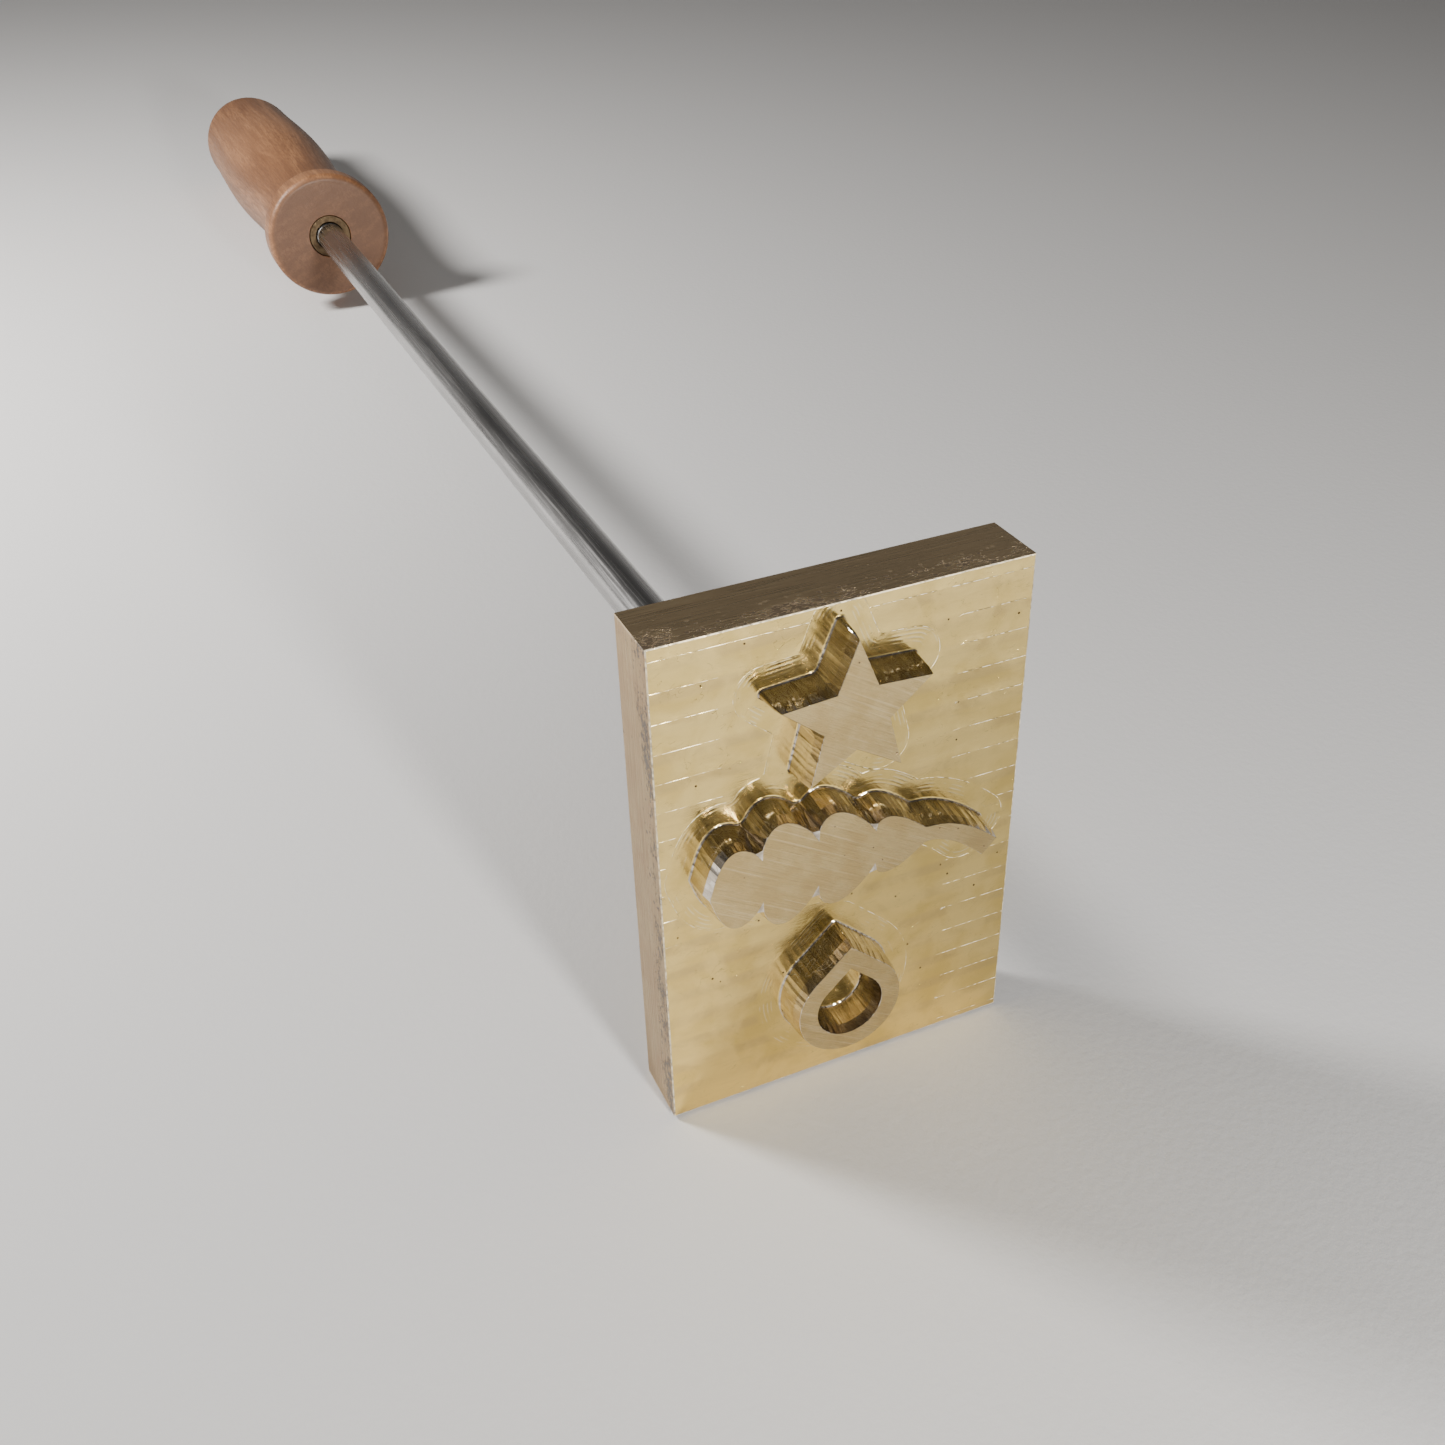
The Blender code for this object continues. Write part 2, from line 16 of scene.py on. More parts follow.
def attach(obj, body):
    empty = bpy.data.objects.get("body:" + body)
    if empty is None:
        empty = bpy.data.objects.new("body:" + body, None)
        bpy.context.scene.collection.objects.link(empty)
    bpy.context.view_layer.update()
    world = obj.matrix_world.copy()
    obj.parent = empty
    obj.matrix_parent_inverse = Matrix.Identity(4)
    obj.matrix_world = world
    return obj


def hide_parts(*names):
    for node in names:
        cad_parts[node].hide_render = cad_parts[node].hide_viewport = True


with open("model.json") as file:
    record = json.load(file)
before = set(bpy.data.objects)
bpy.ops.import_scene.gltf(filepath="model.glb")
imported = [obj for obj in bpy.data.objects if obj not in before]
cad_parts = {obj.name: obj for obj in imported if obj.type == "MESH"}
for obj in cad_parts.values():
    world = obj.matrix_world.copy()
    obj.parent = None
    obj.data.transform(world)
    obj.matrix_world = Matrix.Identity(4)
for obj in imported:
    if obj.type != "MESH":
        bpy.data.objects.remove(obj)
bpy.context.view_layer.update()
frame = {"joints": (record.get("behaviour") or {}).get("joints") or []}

MM = 0.001

# Camera and studio, in metres and degrees
CAMERA_PLACE = (-0.06035, -0.28855, 0.1360)
CAMERA_AIM = (0.01446, -0.1185, 0.0)
CAMERA_ROLL = -0.51
CAMERA_LENS = 38.31
FLOOR_SIZE = 6.0
FLOOR_GRAIN = 900.0
FLOOR_COLOUR = (0.78, 0.775, 0.77)
ROOM_PALE = 0.34
ROOM_DARK = 0.07
ROOM_PALE_BELOW = 0.10  # sine of the height above the horizon
ROOM_DARK_ABOVE = 0.45
WARM = (1.0, 0.97, 0.94)
BULB_PLACE = (-0.214, 0.055, 0.215)
BULB_RADIUS = 0.040
BULB_POWER = 6.3
LAMP_PLACE = (0.035, -0.5615, 0.15)
LAMP_AIM = (0.0, -0.1815, 0.04)
LAMP_RADIUS = 0.024
LAMP_POWER = 9.0
LAMP_COLOUR = (1.0, 0.98, 0.95)
LAMP_CONE = 115.0
LAMP_EDGE = 0.8

# Die blank
DIE_WIDTH = 41.3 * MM
DIE_HEIGHT = 60.0 * MM
DIE_THICKNESS = 7.8 * MM
EDGE_BREAK = 0.15 * MM
EDGE_STEP = 0.4 * MM
BURR = 0.04 * MM
RELIEF_HEIGHT = 4.0 * MM

# The tools that mill the relief
TOP_CHAMFER = 0.04 * MM
CONE_SLOPE = math.tan(math.radians(12.0))
BAND_HEIGHT = 1.2 * MM
MILL_FLAT = 0.7 * MM
MILL_CORNER = 0.3 * MM
MILL_TAPER = math.tan(math.radians(4.0))
MILL_RADIUS = MILL_FLAT + MILL_CORNER
WALL_TOP = RELIEF_HEIGHT - BAND_HEIGHT
WALL_TOP_RADIUS = MILL_RADIUS + (WALL_TOP - MILL_CORNER) * MILL_TAPER
PATH_OFFSET = BAND_HEIGHT * CONE_SLOPE + WALL_TOP_RADIUS

# Ridges that the mill leaves on the field
CLEARING = 3.1 * MM
RIDGE_HALF_WIDTH = 0.07 * MM
RIDGE_HEIGHT = 0.03 * MM
RIDGE_STEP = 0.35 * MM
RIDGE_LOW = 0.003
RIDGE_FULL = 0.014
PASS_SPACING = 3.4 * MM
PASS_FIRST = 28.6 * MM
MARGIN_LEFT = -13.4 * MM
MARGIN_RIGHT = 12.6 * MM
RUBBED_BELOW = -2.0 * MM
FIELD_GRID = 0.8 * MM
GRID_MARGIN = 0.6 * MM
PASS_MARGIN = 0.05 * MM

# Raised figures, in the die's own x and z
STAR_CENTRE = (-1.0 * MM, 19.5 * MM)
STAR_OUTER = 8.5 * MM
STAR_INNER = 3.75 * MM
LEAF_TIP = (-17.0 * MM, 2.6 * MM)
LEAF_LENGTH = 25.0 * MM
LEAF_HALF_WIDTH = 6.4 * MM
LEAF_LOBES = 4
LEAF_POINTS_PER_LOBE = 16
LEAF_NEAR_TIP = 0.8  # power that brings the widest part nearer the tip when it is below 1
LEAF_ROUNDNESS = 0.62
LEAF_NOTCH = 0.54  # share of the half width that falls away between two lobes
LEAF_LEAN = 0.28
LEAF_ARCH = 0.54 * MM
STEM_REACH = (7.2 * MM, -4.2 * MM)
STEM_HALF_WIDTH = 0.95 * MM
STEM_CURVE = 1.7
STEM_FLARE = 0.25
DROP_CENTRE = (-1.1 * MM, -17.9 * MM)
DROP_RADIUS = 6.1 * MM
DROP_APEX = 8.4 * MM
DROP_WALL = 2.2 * MM

# M6 x 1 thread; every internal thread is the same profile moved out by THREAD_CLEARANCE
PITCH = 1.0 * MM
THREAD_RADIUS = 2.95 * MM
THREAD_DEPTH = 0.54 * MM
THREAD_CLEARANCE = 0.15 * MM
THREAD_BREAKS = (0.0, 0.125, 0.4375, 0.6875)  # crest, falling flank, root, rising flank
THREAD_SEGMENTS = 48
RUN_OUT = 1.5 * MM

GAP = 0.3 * MM  # between pieces that touch on the real tool

# Stations along the tool's axis
HOLE_BOTTOM = 1.5 * MM
ROD_FRONT = 1.9 * MM
WASHER_THICKNESS = 1.6 * MM
WASHER_INNER = 3.2 * MM
WASHER_OUTER = 5.9 * MM
WASHER_SPLIT = math.radians(9.0)
WASHER_SECTIONS = 96
WASHER_RISE = 0.12 * MM
WASHER_CORNER = 0.15 * MM
NUT_THICKNESS = 5.0 * MM
NUT_ACROSS_FLATS = 10.0 * MM
NUT_FACE = NUT_ACROSS_FLATS / 2 - 0.25 * MM
FRONT_THREAD_END = 18.5 * MM
ROD_RADIUS = 3.0 * MM
HANDLE_FRONT = 254.0 * MM
INSERT_LENGTH = 10.0 * MM
INSERT_RADIUS = 4.7 * MM
INSERT_PITCH = 2.4 * MM
INSERT_THREAD_DEPTH = 0.6 * MM
INSERT_BREAK = 0.15 * MM
INSERT_FIT = 0.05 * MM
REAR_THREAD_START = HANDLE_FRONT - RUN_OUT
ROD_REAR = 265.5 * MM
BORE_END = 268.0 * MM
DRILL_POINT = 1.5 * MM

# Handle profile
FLANGE_RADIUS = 13.8 * MM
FLANGE_THICKNESS = 7.0 * MM
FLANGE_ROUNDING = 1.5 * MM
NECK_RADIUS = 10.9 * MM
COVE_LENGTH = 8.0 * MM
BELLY_RADIUS = 12.9 * MM
BELLY_STATION = 320.0 * MM
END_RADIUS = 12.2 * MM
DOME_START = 357.0 * MM
HANDLE_END = 371.0 * MM
HANDLE_SEGMENTS = 144


# ---- materials


class Shader:
    """The nodes of one material or of the world, with short calls to add to them.

    Patterns are placed by each point's place in the tool frame in millimetres, which the meshes
    hold as an attribute, so that a pattern stays on its piece when the piece moves.
    """

    def __init__(self, name, owners=bpy.data.materials, surface="Principled BSDF"):
        self.owner = owners.new(name)
        self.owner.use_nodes = True
        self.tree = self.owner.node_tree
        self.surface = self.tree.nodes[surface]

    def put(self, socket, value):
        if isinstance(value, bpy.types.NodeSocket):
            self.tree.links.new(value, socket)
        elif socket.type == "RGBA":
            socket.default_value = (*value, 1.0)
        else:
            socket.default_value = value

    def fill(self, node, **values):
        """Puts values into a node's inputs by name, with _ for a space."""
        for key, value in values.items():
            self.put(node.inputs[key.replace("_", " ")], value)

    def node(self, kind, **settings):
        made = self.tree.nodes.new("ShaderNode" + kind)
        for key, value in settings.items():
            setattr(made, key, value)
        return made

    def tool_mm(self):
        return self.node("Attribute", attribute_name="tool_mm").outputs["Vector"]

    def layer(self, name):
        """A number that the mesh holds for each point."""
        return self.node("Attribute", attribute_name=name).outputs["Fac"]

    def place(self, stretch, turn=(0.0, 0.0, 0.0)):
        """Tool coordinates, turned by degrees and then stretched along each axis or alike."""
        turned = self.node("VectorRotate", rotation_type="EULER_XYZ")
        self.fill(turned, Vector=self.tool_mm(), Rotation=[math.radians(angle) for angle in turn])
        scaled = self.node("VectorMath", operation="MULTIPLY")
        self.put(scaled.inputs[0], turned.outputs[0])
        self.put(scaled.inputs[1], [stretch] * 3 if isinstance(stretch, float) else stretch)
        return scaled.outputs[0]

    def axes(self):
        """The three tool coordinates, each as a socket."""
        split = self.node("SeparateXYZ")
        self.put(split.inputs[0], self.tool_mm())
        return split.outputs[:3]

    def radius(self, centre_x=0.0, centre_z=0.0):
        """Distance from a line along the tool's axis, in millimetres."""
        x, _, z = self.axes()
        from_line = (self.maths("SUBTRACT", x, centre_x), self.maths("SUBTRACT", z, centre_z))
        squares = [self.maths("POWER", distance, 2.0) for distance in from_line]
        return self.maths("SQRT", self.maths("ADD", *squares))

    def maths(self, operation, *values):
        made = self.node("Math", operation=operation)
        for socket, value in zip(made.inputs, values):
            self.put(socket, value)
        return made.outputs[0]

    def times(self, product, *values):
        for value in values:
            product = self.maths("MULTIPLY", product, value)
        return product

    def wave(self, value, period):
        """A sine over value, from -1 to 1."""
        return self.maths("SINE", self.times(value, 2.0 * math.pi / period))

    def span(self, value, low, high, to_low=0.0, to_high=1.0, smooth=True):
        """value taken from the range low..high to the range to_low..to_high, and held there."""
        made = self.node("MapRange", interpolation_type="SMOOTHSTEP" if smooth else "LINEAR")
        self.fill(made, Value=value, From_Min=low, From_Max=high, To_Min=to_low, To_Max=to_high)
        return made.outputs["Result"]

    def noise(self, stretch, detail=4.0, roughness=0.5, distortion=0.0, turn=(0.0, 0.0, 0.0)):
        """Soft noise from 0 to 1 over the tool's coordinates."""
        made = self.node("TexNoise")
        self.fill(made, Vector=self.place(stretch, turn), Scale=1.0, Detail=detail)
        self.fill(made, Roughness=roughness, Distortion=distortion)
        return made.outputs["Fac"]

    def lines(self, noise_value, width):
        """1 along the thin lines on which a noise passes its middle, 0 elsewhere."""
        from_middle = self.maths("ABSOLUTE", self.maths("SUBTRACT", noise_value, 0.5))
        return self.span(from_middle, 0.0, width, 1.0, 0.0)

    def cells(self, stretch):
        """Distance to the nearest of scattered points, and two random numbers for that point."""
        made = self.node("TexVoronoi")
        self.fill(made, Vector=self.place(stretch), Scale=1.0)
        split = self.node("SeparateColor")
        self.fill(split, Color=made.outputs["Color"])
        return made.outputs["Distance"], split.outputs[0], split.outputs[1]

    def pits(self, scale, radius, share):
        """1 in scattered round pits, 0 elsewhere; share is how many of the cells hold a pit."""
        distance, chance, breadth = self.cells(scale)
        size = self.span(breadth, 0.0, 1.0, 0.3 * radius, radius, smooth=False)
        inside = self.span(self.maths("SUBTRACT", size, distance), 0.0, 0.3 * radius)
        return self.times(inside, self.maths("LESS_THAN", chance, share))

    def coats(self, colour, *coats):
        """A colour with (share, colour) coats laid over it one after the other."""
        for share, over in coats:
            made = self.node("Mix", data_type="RGBA")
            first, second = [socket for socket in made.inputs if socket.type == "RGBA"]
            self.fill(made, Factor=share)
            self.put(first, colour)
            self.put(second, over)
            colour = next(socket for socket in made.outputs if socket.type == "RGBA")
        return colour

    def finish(self, colour, roughness, *bumps, metallic=1.0):
        """The material, with (height, depth in metres) bumps on top of each other."""
        self.fill(self.surface, Base_Color=colour, Roughness=roughness, Metallic=metallic)
        target = self.surface.inputs["Normal"]
        for height, depth in bumps[::-1]:
            made = self.node("Bump")
            self.fill(made, Strength=1.0, Distance=depth, Height=height)
            self.put(target, made.outputs["Normal"])
            target = made.inputs["Normal"]
        return self.owner


BRASS_PALE = (0.95, 0.72, 0.27)
BRASS_YELLOW = (0.80, 0.59, 0.19)
BRASS_GOLD = (0.82, 0.755, 0.655)
BRASS_TAN = (0.60, 0.44, 0.21)
BRASS_PINK = (0.47, 0.30, 0.125)
BRASS_STAIN = (0.16, 0.09, 0.045)
BRASS_PIT = (0.10, 0.06, 0.03)
BRASS_DIRT = (0.035, 0.020, 0.014)
# Pale burr colour; on the field's ridges and on the sides' front edge it is also painted highlight.
BRASS_BURR_AND_HIGHLIGHT = (0.97, 0.88, 0.66)

# Spacing of the tool marks and the fly cutter's centre, in millimetres
MILL_RING = 0.46
FLY_CUT = 0.55
FLY_CENTRE = (-70.0, -18.0)
LATHE_RING = 0.18


def brass_field():
    """The milled field: satin brass with cloudy patches, cutter marks, raised ridges whose pale
    colour is partly painted highlight, and pits.
    """
    s = Shader("brass_field")
    clearance = s.layer("clearance")
    _, along, up = s.axes()
    cloudy = s.noise(0.16, 5.0, 0.6, 0.4)
    streaks = s.noise((0.18, 1.0, 1.6), 5.0, 0.6)
    pits = s.pits(1.1, 0.16, 0.10)
    stain = s.span(s.noise(0.30, 6.0, 0.7), 0.64, 0.76, 0.0, 0.40)
    dots = s.span(s.noise(1.6, 4.0, 0.6), 0.40, 0.58, 0.15, 1.0)
    # Ridges: real raised lines between passes, coloured pale so they show as bright lines, which is
    # partly painted highlight.
    ridge = s.times(s.span(along, -RIDGE_LOW, -RIDGE_FULL), dots, s.span(clearance, 2.2, 2.6))
    passes = s.wave(up, PASS_SPACING / MM)
    away = s.span(clearance, 3.0, 3.6)
    worn = s.times(s.span(passes, -0.2, 1.0), s.span(cloudy, 0.40, 0.60, 0.1, 0.45), away)
    near = s.times(s.span(clearance, 1.2, 1.6), s.span(clearance, 2.9, 3.2, 1.0, 0.0))
    come_and_go = s.span(s.noise(0.35, 3.0), 0.44, 0.60)
    ring_marks = s.times(s.wave(clearance, MILL_RING), near, come_and_go)
    colour = s.coats(
        BRASS_PALE,
        (s.span(cloudy, 0.38, 0.66), BRASS_YELLOW),
        (s.span(streaks, 0.54, 0.78, 0.0, 0.30), BRASS_TAN),
        (worn, BRASS_TAN),
        (stain, BRASS_STAIN),
        (pits, BRASS_PIT),
        (s.span(ring_marks, 0.2, 1.0, 0.0, 0.45), BRASS_BURR_AND_HIGHLIGHT),
        (ridge, BRASS_BURR_AND_HIGHLIGHT),
    )
    satin = s.span(streaks, 0.3, 0.7, 0.15, 0.22)
    nick = s.noise((0.35, 1.0, 0.9), 1.0, 0.4, 1.2, turn=(0.0, 35.0, 0.0))
    nick = s.times(s.lines(nick, 0.0022), s.span(s.noise(0.5, 2.0), 0.52, 0.60))
    scratches = s.noise((0.5, 1.0, 6.0), 4.0, 0.6)
    return s.finish(
        colour,
        s.span(ridge, 0.0, 1.0, satin, 0.55),
        (s.times(passes, away), 0.010 * MM),
        (ring_marks, 0.004 * MM),
        (scratches, s.span(away, 0.0, 1.0, 0.005 * MM, 0.014 * MM)),
        (s.noise(0.45, 4.0, 0.55), 0.030 * MM),
        (nick, 0.02 * MM),
        (pits, -0.04 * MM),
    )


def brass_top():
    """The raised figures' flat tops: the bar's own surface, rubbed in one slanting direction."""
    s = Shader("brass_top")
    slant = (0.0, -32.0, 0.0)
    hairs = s.noise((0.12, 1.0, 7.0), 5.0, 0.75, turn=slant)
    strokes = s.noise((0.06, 1.0, 2.6), 3.0, 0.6, turn=slant)
    pits = s.pits(0.9, 0.2, 0.10)
    colour = s.coats(
        (0.55, 0.405, 0.185),
        (s.span(s.noise(0.25, 4.0, 0.6), 0.40, 0.62), (0.62, 0.475, 0.235)),
        (s.span(hairs, 0.50, 0.64, 0.0, 0.60), (0.36, 0.26, 0.13)),
        (s.span(strokes, 0.56, 0.66, 0.0, 0.35), (0.84, 0.69, 0.42)),
        (pits, (0.12, 0.07, 0.04)),
    )
    satin = s.span(hairs, 0.3, 0.7, 0.22, 0.38)
    return s.finish(colour, satin, (hairs, 0.03 * MM), (strokes, 0.03 * MM), (pits, -0.03 * MM))


def brass_wall():
    """The relief's walls: mirror-like brass in narrow facets that run up them."""
    s = Shader("brass_wall")
    facets, tone, _ = s.cells((1.3, 0.02, 1.3))
    fine = s.noise((9.0, 0.10, 9.0), 3.0, 0.7)
    thin = s.lines(s.noise(0.5, 1.0, 0.4, 1.0, turn=(30.0, 10.0, 20.0)), 0.003)
    colour = s.coats(
        BRASS_GOLD,
        (s.span(s.noise(0.8, 4.0, 0.6), 0.35, 0.65), (0.68, 0.60, 0.50)),
        (s.span(tone, 0.3, 0.9, 0.0, 0.5), (0.40, 0.33, 0.24)),
        (s.times(thin, 0.5), BRASS_BURR_AND_HIGHLIGHT),
    )
    gloss = s.span(fine, 0.3, 0.7, 0.07, 0.17)
    return s.finish(colour, gloss, (facets, 0.11 * MM), (thin, 0.010 * MM), (fine, 0.006 * MM))


def brass_side():
    """The bar's sides: streaks round the edge, dark pits along the front corner, sawn ends, and a
    pale burr along the front edge that is partly painted highlight.
    """
    s = Shader("brass_side")
    _, along, up = s.axes()
    streaks = s.noise((0.10, 4.5, 0.10), 5.0, 0.65)
    near_front = s.span(along, 1.2, 4.2, 1.0, 0.0)
    ragged = s.noise((1.1, 1.9, 1.1), 5.0, 0.8)
    patchy = s.span(s.noise(0.16, 3.0), 0.40, 0.60, 0.10, -0.03)
    limit = s.maths("ADD", s.span(near_front, 0.0, 1.0, 0.66, 0.48, smooth=False), patchy)
    dirt = s.span(s.maths("SUBTRACT", ragged, limit), 0.0, 0.04)
    specks = s.times(s.pits(1.5, 0.45, 0.5), s.span(near_front, 0.05, 0.5))
    dirt = s.maths("MAXIMUM", dirt, specks)
    end = DIE_HEIGHT / 2 / MM
    sawn = s.coats((0.80, 0.61, 0.36), (streaks, (0.64, 0.48, 0.28)))
    # The front edge's burr is real, but its pale, rough dotted band is a painted highlight along the
    # edge.
    burr = s.span(s.noise(1.4, 4.0, 0.6), 0.30, 0.60, 0.15, 0.85)
    burr = s.times(burr, s.span(along, 0.08, 0.15, 1.0, 0.0))
    colour = s.coats(
        BRASS_PINK,
        (s.span(s.noise(0.35, 5.0, 0.6), 0.35, 0.65), (0.51, 0.355, 0.155)),
        (s.span(streaks, 0.44, 0.66, 0.0, 0.7), (0.34, 0.22, 0.115)),
        (s.span(s.maths("ABSOLUTE", up), end - 0.4, end - 0.1), sawn),
        (s.times(dirt, 0.85), BRASS_DIRT),
        (burr, BRASS_BURR_AND_HIGHLIGHT),
    )
    satin = s.span(burr, 0.0, 1.0, s.span(streaks, 0.3, 0.7, 0.24, 0.40), 0.65)
    metallic = s.span(dirt, 0.0, 1.0, 1.0, 0.3, smooth=False)
    bumps = ((streaks, 0.03 * MM), (s.noise((0.3, 16.0, 0.3), 3.0, 0.6), 0.006 * MM))
    return s.finish(colour, satin, *bumps, (dirt, -0.03 * MM), metallic=metallic)


def brass_back():
    """The bar's back, faced with a fly cutter that left wide arcs."""
    s = Shader("brass_back")
    arcs = s.wave(s.radius(*FLY_CENTRE), FLY_CUT)
    wander = s.noise(0.4, 4.0, 0.6)
    pits = s.pits(0.8, 0.2, 0.12)
    brushed = s.noise((0.12, 1.0, 5.0), 5.0, 0.7)
    colour = s.coats(
        (0.78, 0.59, 0.27),
        (s.span(s.noise(0.14, 5.0, 0.6, 0.3), 0.36, 0.64), (0.70, 0.53, 0.27)),
        (s.span(brushed, 0.45, 0.70, 0.0, 0.5), (0.50, 0.36, 0.17)),
        (s.times(s.span(wander, 0.60, 0.76), 0.35), BRASS_STAIN),
        (pits, BRASS_PIT),
    )
    satin = s.span(brushed, 0.3, 0.7, 0.20, 0.34)
    marks = s.times(arcs, s.span(wander, 0.25, 0.55, 0.25, 1.0))
    return s.finish(colour, satin, (marks, 0.006 * MM), (brushed, 0.012 * MM), (pits, -0.04 * MM))


def brass_insert():
    """Turned brass, dulled and coloured very dark brown as painted shade round the rod's entry into
    the handle, with turning rings on its face.
    """
    s = Shader("brass_insert")
    cloudy = s.noise(0.9, 5.0, 0.6)
    # Very dark brown: painted shade round the rod where it enters the handle.
    colour = s.coats((0.15, 0.105, 0.06), (s.span(cloudy, 0.4, 0.65), (0.09, 0.06, 0.035)))
    rings = s.wave(s.radius(), LATHE_RING)
    return s.finish(colour, s.span(cloudy, 0.3, 0.7, 0.40, 0.55), (rings, 0.004 * MM))


def ground_steel():
    """Centreless-ground and polished rod, with fine rings, long rubs and a few scratches."""
    s = Shader("ground_steel")
    rings = s.noise((0.25, 14.0, 0.25), 3.0, 0.7)
    rubs = s.noise((2.0, 0.03, 2.0), 5.0, 0.65)
    patches = s.noise((0.2, 0.05, 0.2), 4.0, 0.6)
    thin = s.lines(s.noise((1.2, 0.5, 1.2), 2.0, 0.4, 1.5, turn=(14.0, 0.0, 21.0)), 0.004)
    colour = s.coats(
        (0.48, 0.475, 0.47),
        (s.span(patches, 0.35, 0.65), (0.39, 0.385, 0.38)),
        (s.times(thin, 0.35), (0.30, 0.29, 0.28)),
    )
    gloss = s.span(rubs, 0.3, 0.7, 0.18, 0.32)
    return s.finish(colour, gloss, (rings, 0.004 * MM), (rubs, 0.006 * MM))


def zinc_plate():
    """Bright zinc plating with a faint spangle, rubbed dull in places."""
    s = Shader("zinc_plate")
    _, spangle, _ = s.cells(1.6)
    cloudy = s.noise(0.8, 5.0, 0.6)
    colour = s.coats(
        (0.62, 0.64, 0.66),
        (s.span(cloudy, 0.35, 0.65), (0.50, 0.51, 0.50)),
        (s.times(spangle, 0.15), (0.70, 0.68, 0.60)),
    )
    grain = s.noise(4.0, 4.0, 0.6)
    return s.finish(colour, s.span(cloudy, 0.3, 0.7, 0.24, 0.42), (grain, 0.02 * MM))


def turned_beech():
    """Sanded beech: soft growth bands, short dark ray flecks, fine pores, darker end grain that is
    partly painted shade on the flange's face, and a satin oil finish.
    """
    s = Shader("turned_beech")
    slant = (0.0, 24.0, 0.0)
    bands = s.noise((0.16, 0.012, 0.55), 3.0, 0.5, 0.6, turn=slant)
    streaks = s.noise((1.1, 0.035, 1.1), 4.0, 0.6)
    fibre = s.noise((3.2, 0.10, 3.2), 5.0, 0.65)
    flecks = s.noise((3.6, 0.45, 1.5), 2.0, 0.4, turn=slant)
    pores = s.span(s.noise((11.0, 0.55, 11.0), 2.0), 0.66, 0.74)
    blotch = s.noise((0.05, 0.02, 0.05), 3.0)
    # Faces that look along the axis, the flange's faces and the end, are darker: end grain, and
    # painted shade on the flange's front face.
    end_grain_and_painted_shade = s.maths("ABSOLUTE", s.layer("axial"))
    colour = s.coats(
        (0.325, 0.152, 0.066),
        (s.span(bands, 0.40, 0.60), (0.200, 0.087, 0.036)),
        (s.span(streaks, 0.46, 0.62, 0.0, 0.60), (0.14, 0.058, 0.024)),
        (s.span(fibre, 0.42, 0.62, 0.0, 0.55), (0.16, 0.070, 0.030)),
        (s.span(flecks, 0.57, 0.63, 0.0, 0.65), (0.135, 0.058, 0.026)),
        (s.times(pores, 0.60), (0.17, 0.08, 0.04)),
        (s.span(blotch, 0.4, 0.65, 0.0, 0.25), (0.36, 0.175, 0.085)),
        (s.span(end_grain_and_painted_shade, 0.75, 0.98, 0.0, 0.65), (0.13, 0.062, 0.032)),
    )
    s.fill(s.surface, Coat_Weight=0.12, Coat_Roughness=0.30)
    satin = s.span(fibre, 0.3, 0.7, 0.42, 0.58)
    return s.finish(colour, satin, (fibre, 0.05 * MM), (pores, -0.04 * MM), metallic=0.0)


def floor_paper():
    """Plain pale matt paper with a faint tooth."""
    s = Shader("floor_paper")
    tooth = s.node("TexNoise")
    where = s.node("TexCoord").outputs["Object"]
    s.fill(tooth, Vector=where, Scale=FLOOR_GRAIN, Detail=3.0, Roughness=0.6)
    s.fill(s.surface, Specular_IOR_Level=0.3)
    return s.finish(FLOOR_COLOUR, 0.85, (tooth.outputs["Fac"], 0.05 * MM), metallic=0.0)


# ---- pieces on the frame


def add_object(name, data):
    made = bpy.data.objects.new(name, data)
    bpy.context.scene.collection.objects.link(made)
    return made


def to_mesh(name, bm):
    mesh = bpy.data.meshes.new(name)
    bm.to_mesh(mesh)
    bm.free()
    return mesh


def tool_frame():
    """The tool frame in the row frame, from the die's screw joint."""
    hinge = next(joint for joint in frame["joints"] if joint["name"] == "die_turn")
    back = -Vector(hinge["axis"]).normalized()
    across = Vector((1.0, 0.0, 0.0))
    matrix = Matrix((across, back, across.cross(back))).transposed().to_4x4()
    matrix.translation = Vector(hinge["pos_m"])
    return matrix


TOOL_FRAME = tool_frame()


def read_points(mesh, attribute):
    """A vector for each of the mesh's points, as rows."""
    values = np.empty(len(mesh.vertices) * 3, np.float32)
    mesh.vertices.foreach_get(attribute, values)
    return values.reshape(-1, 3)


def write_layer(mesh, name, values):
    """A number for each of the mesh's points, which Shader.layer reads."""
    layer = mesh.attributes.new(name, "FLOAT", "POINT")
    layer.data.foreach_set("value", np.ascontiguousarray(values, np.float32))


def add_piece(name, bm, materials, body, node, sharp_degrees=30.0):
    """A closed mesh of the tool frame as a piece that rides on body and stands for node."""
    bmesh.ops.remove_doubles(bm, verts=bm.verts, dist=0.2e-6)
    bmesh.ops.recalc_face_normals(bm, faces=bm.faces)
    mesh = to_mesh(name, bm)
    mesh.shade_smooth()
    mesh.set_sharp_from_angle(angle=math.radians(sharp_degrees))
    places = read_points(mesh, "co") / MM
    mesh.attributes.new("tool_mm", "FLOAT_VECTOR", "POINT").data.foreach_set("vector", places.ravel())
    write_layer(mesh, "axial", read_points(mesh, "normal")[:, 1])
    for material in materials:
        mesh.materials.append(material)
    obj = add_object(name, mesh)
    obj.matrix_world = TOOL_FRAME
    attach(obj, body)
    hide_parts(node)
    return obj


# ---- turned and threaded pieces


def around_axis(radius, angle, y):
    """A point round the tool's axis; a growing angle and y make a right-hand helix."""
    return Vector((radius * math.sin(angle), y, radius * math.cos(angle)))


def around(segments):
    """Angles once round the axis."""
    return [2 * math.pi * index / segments for index in range(segments)]


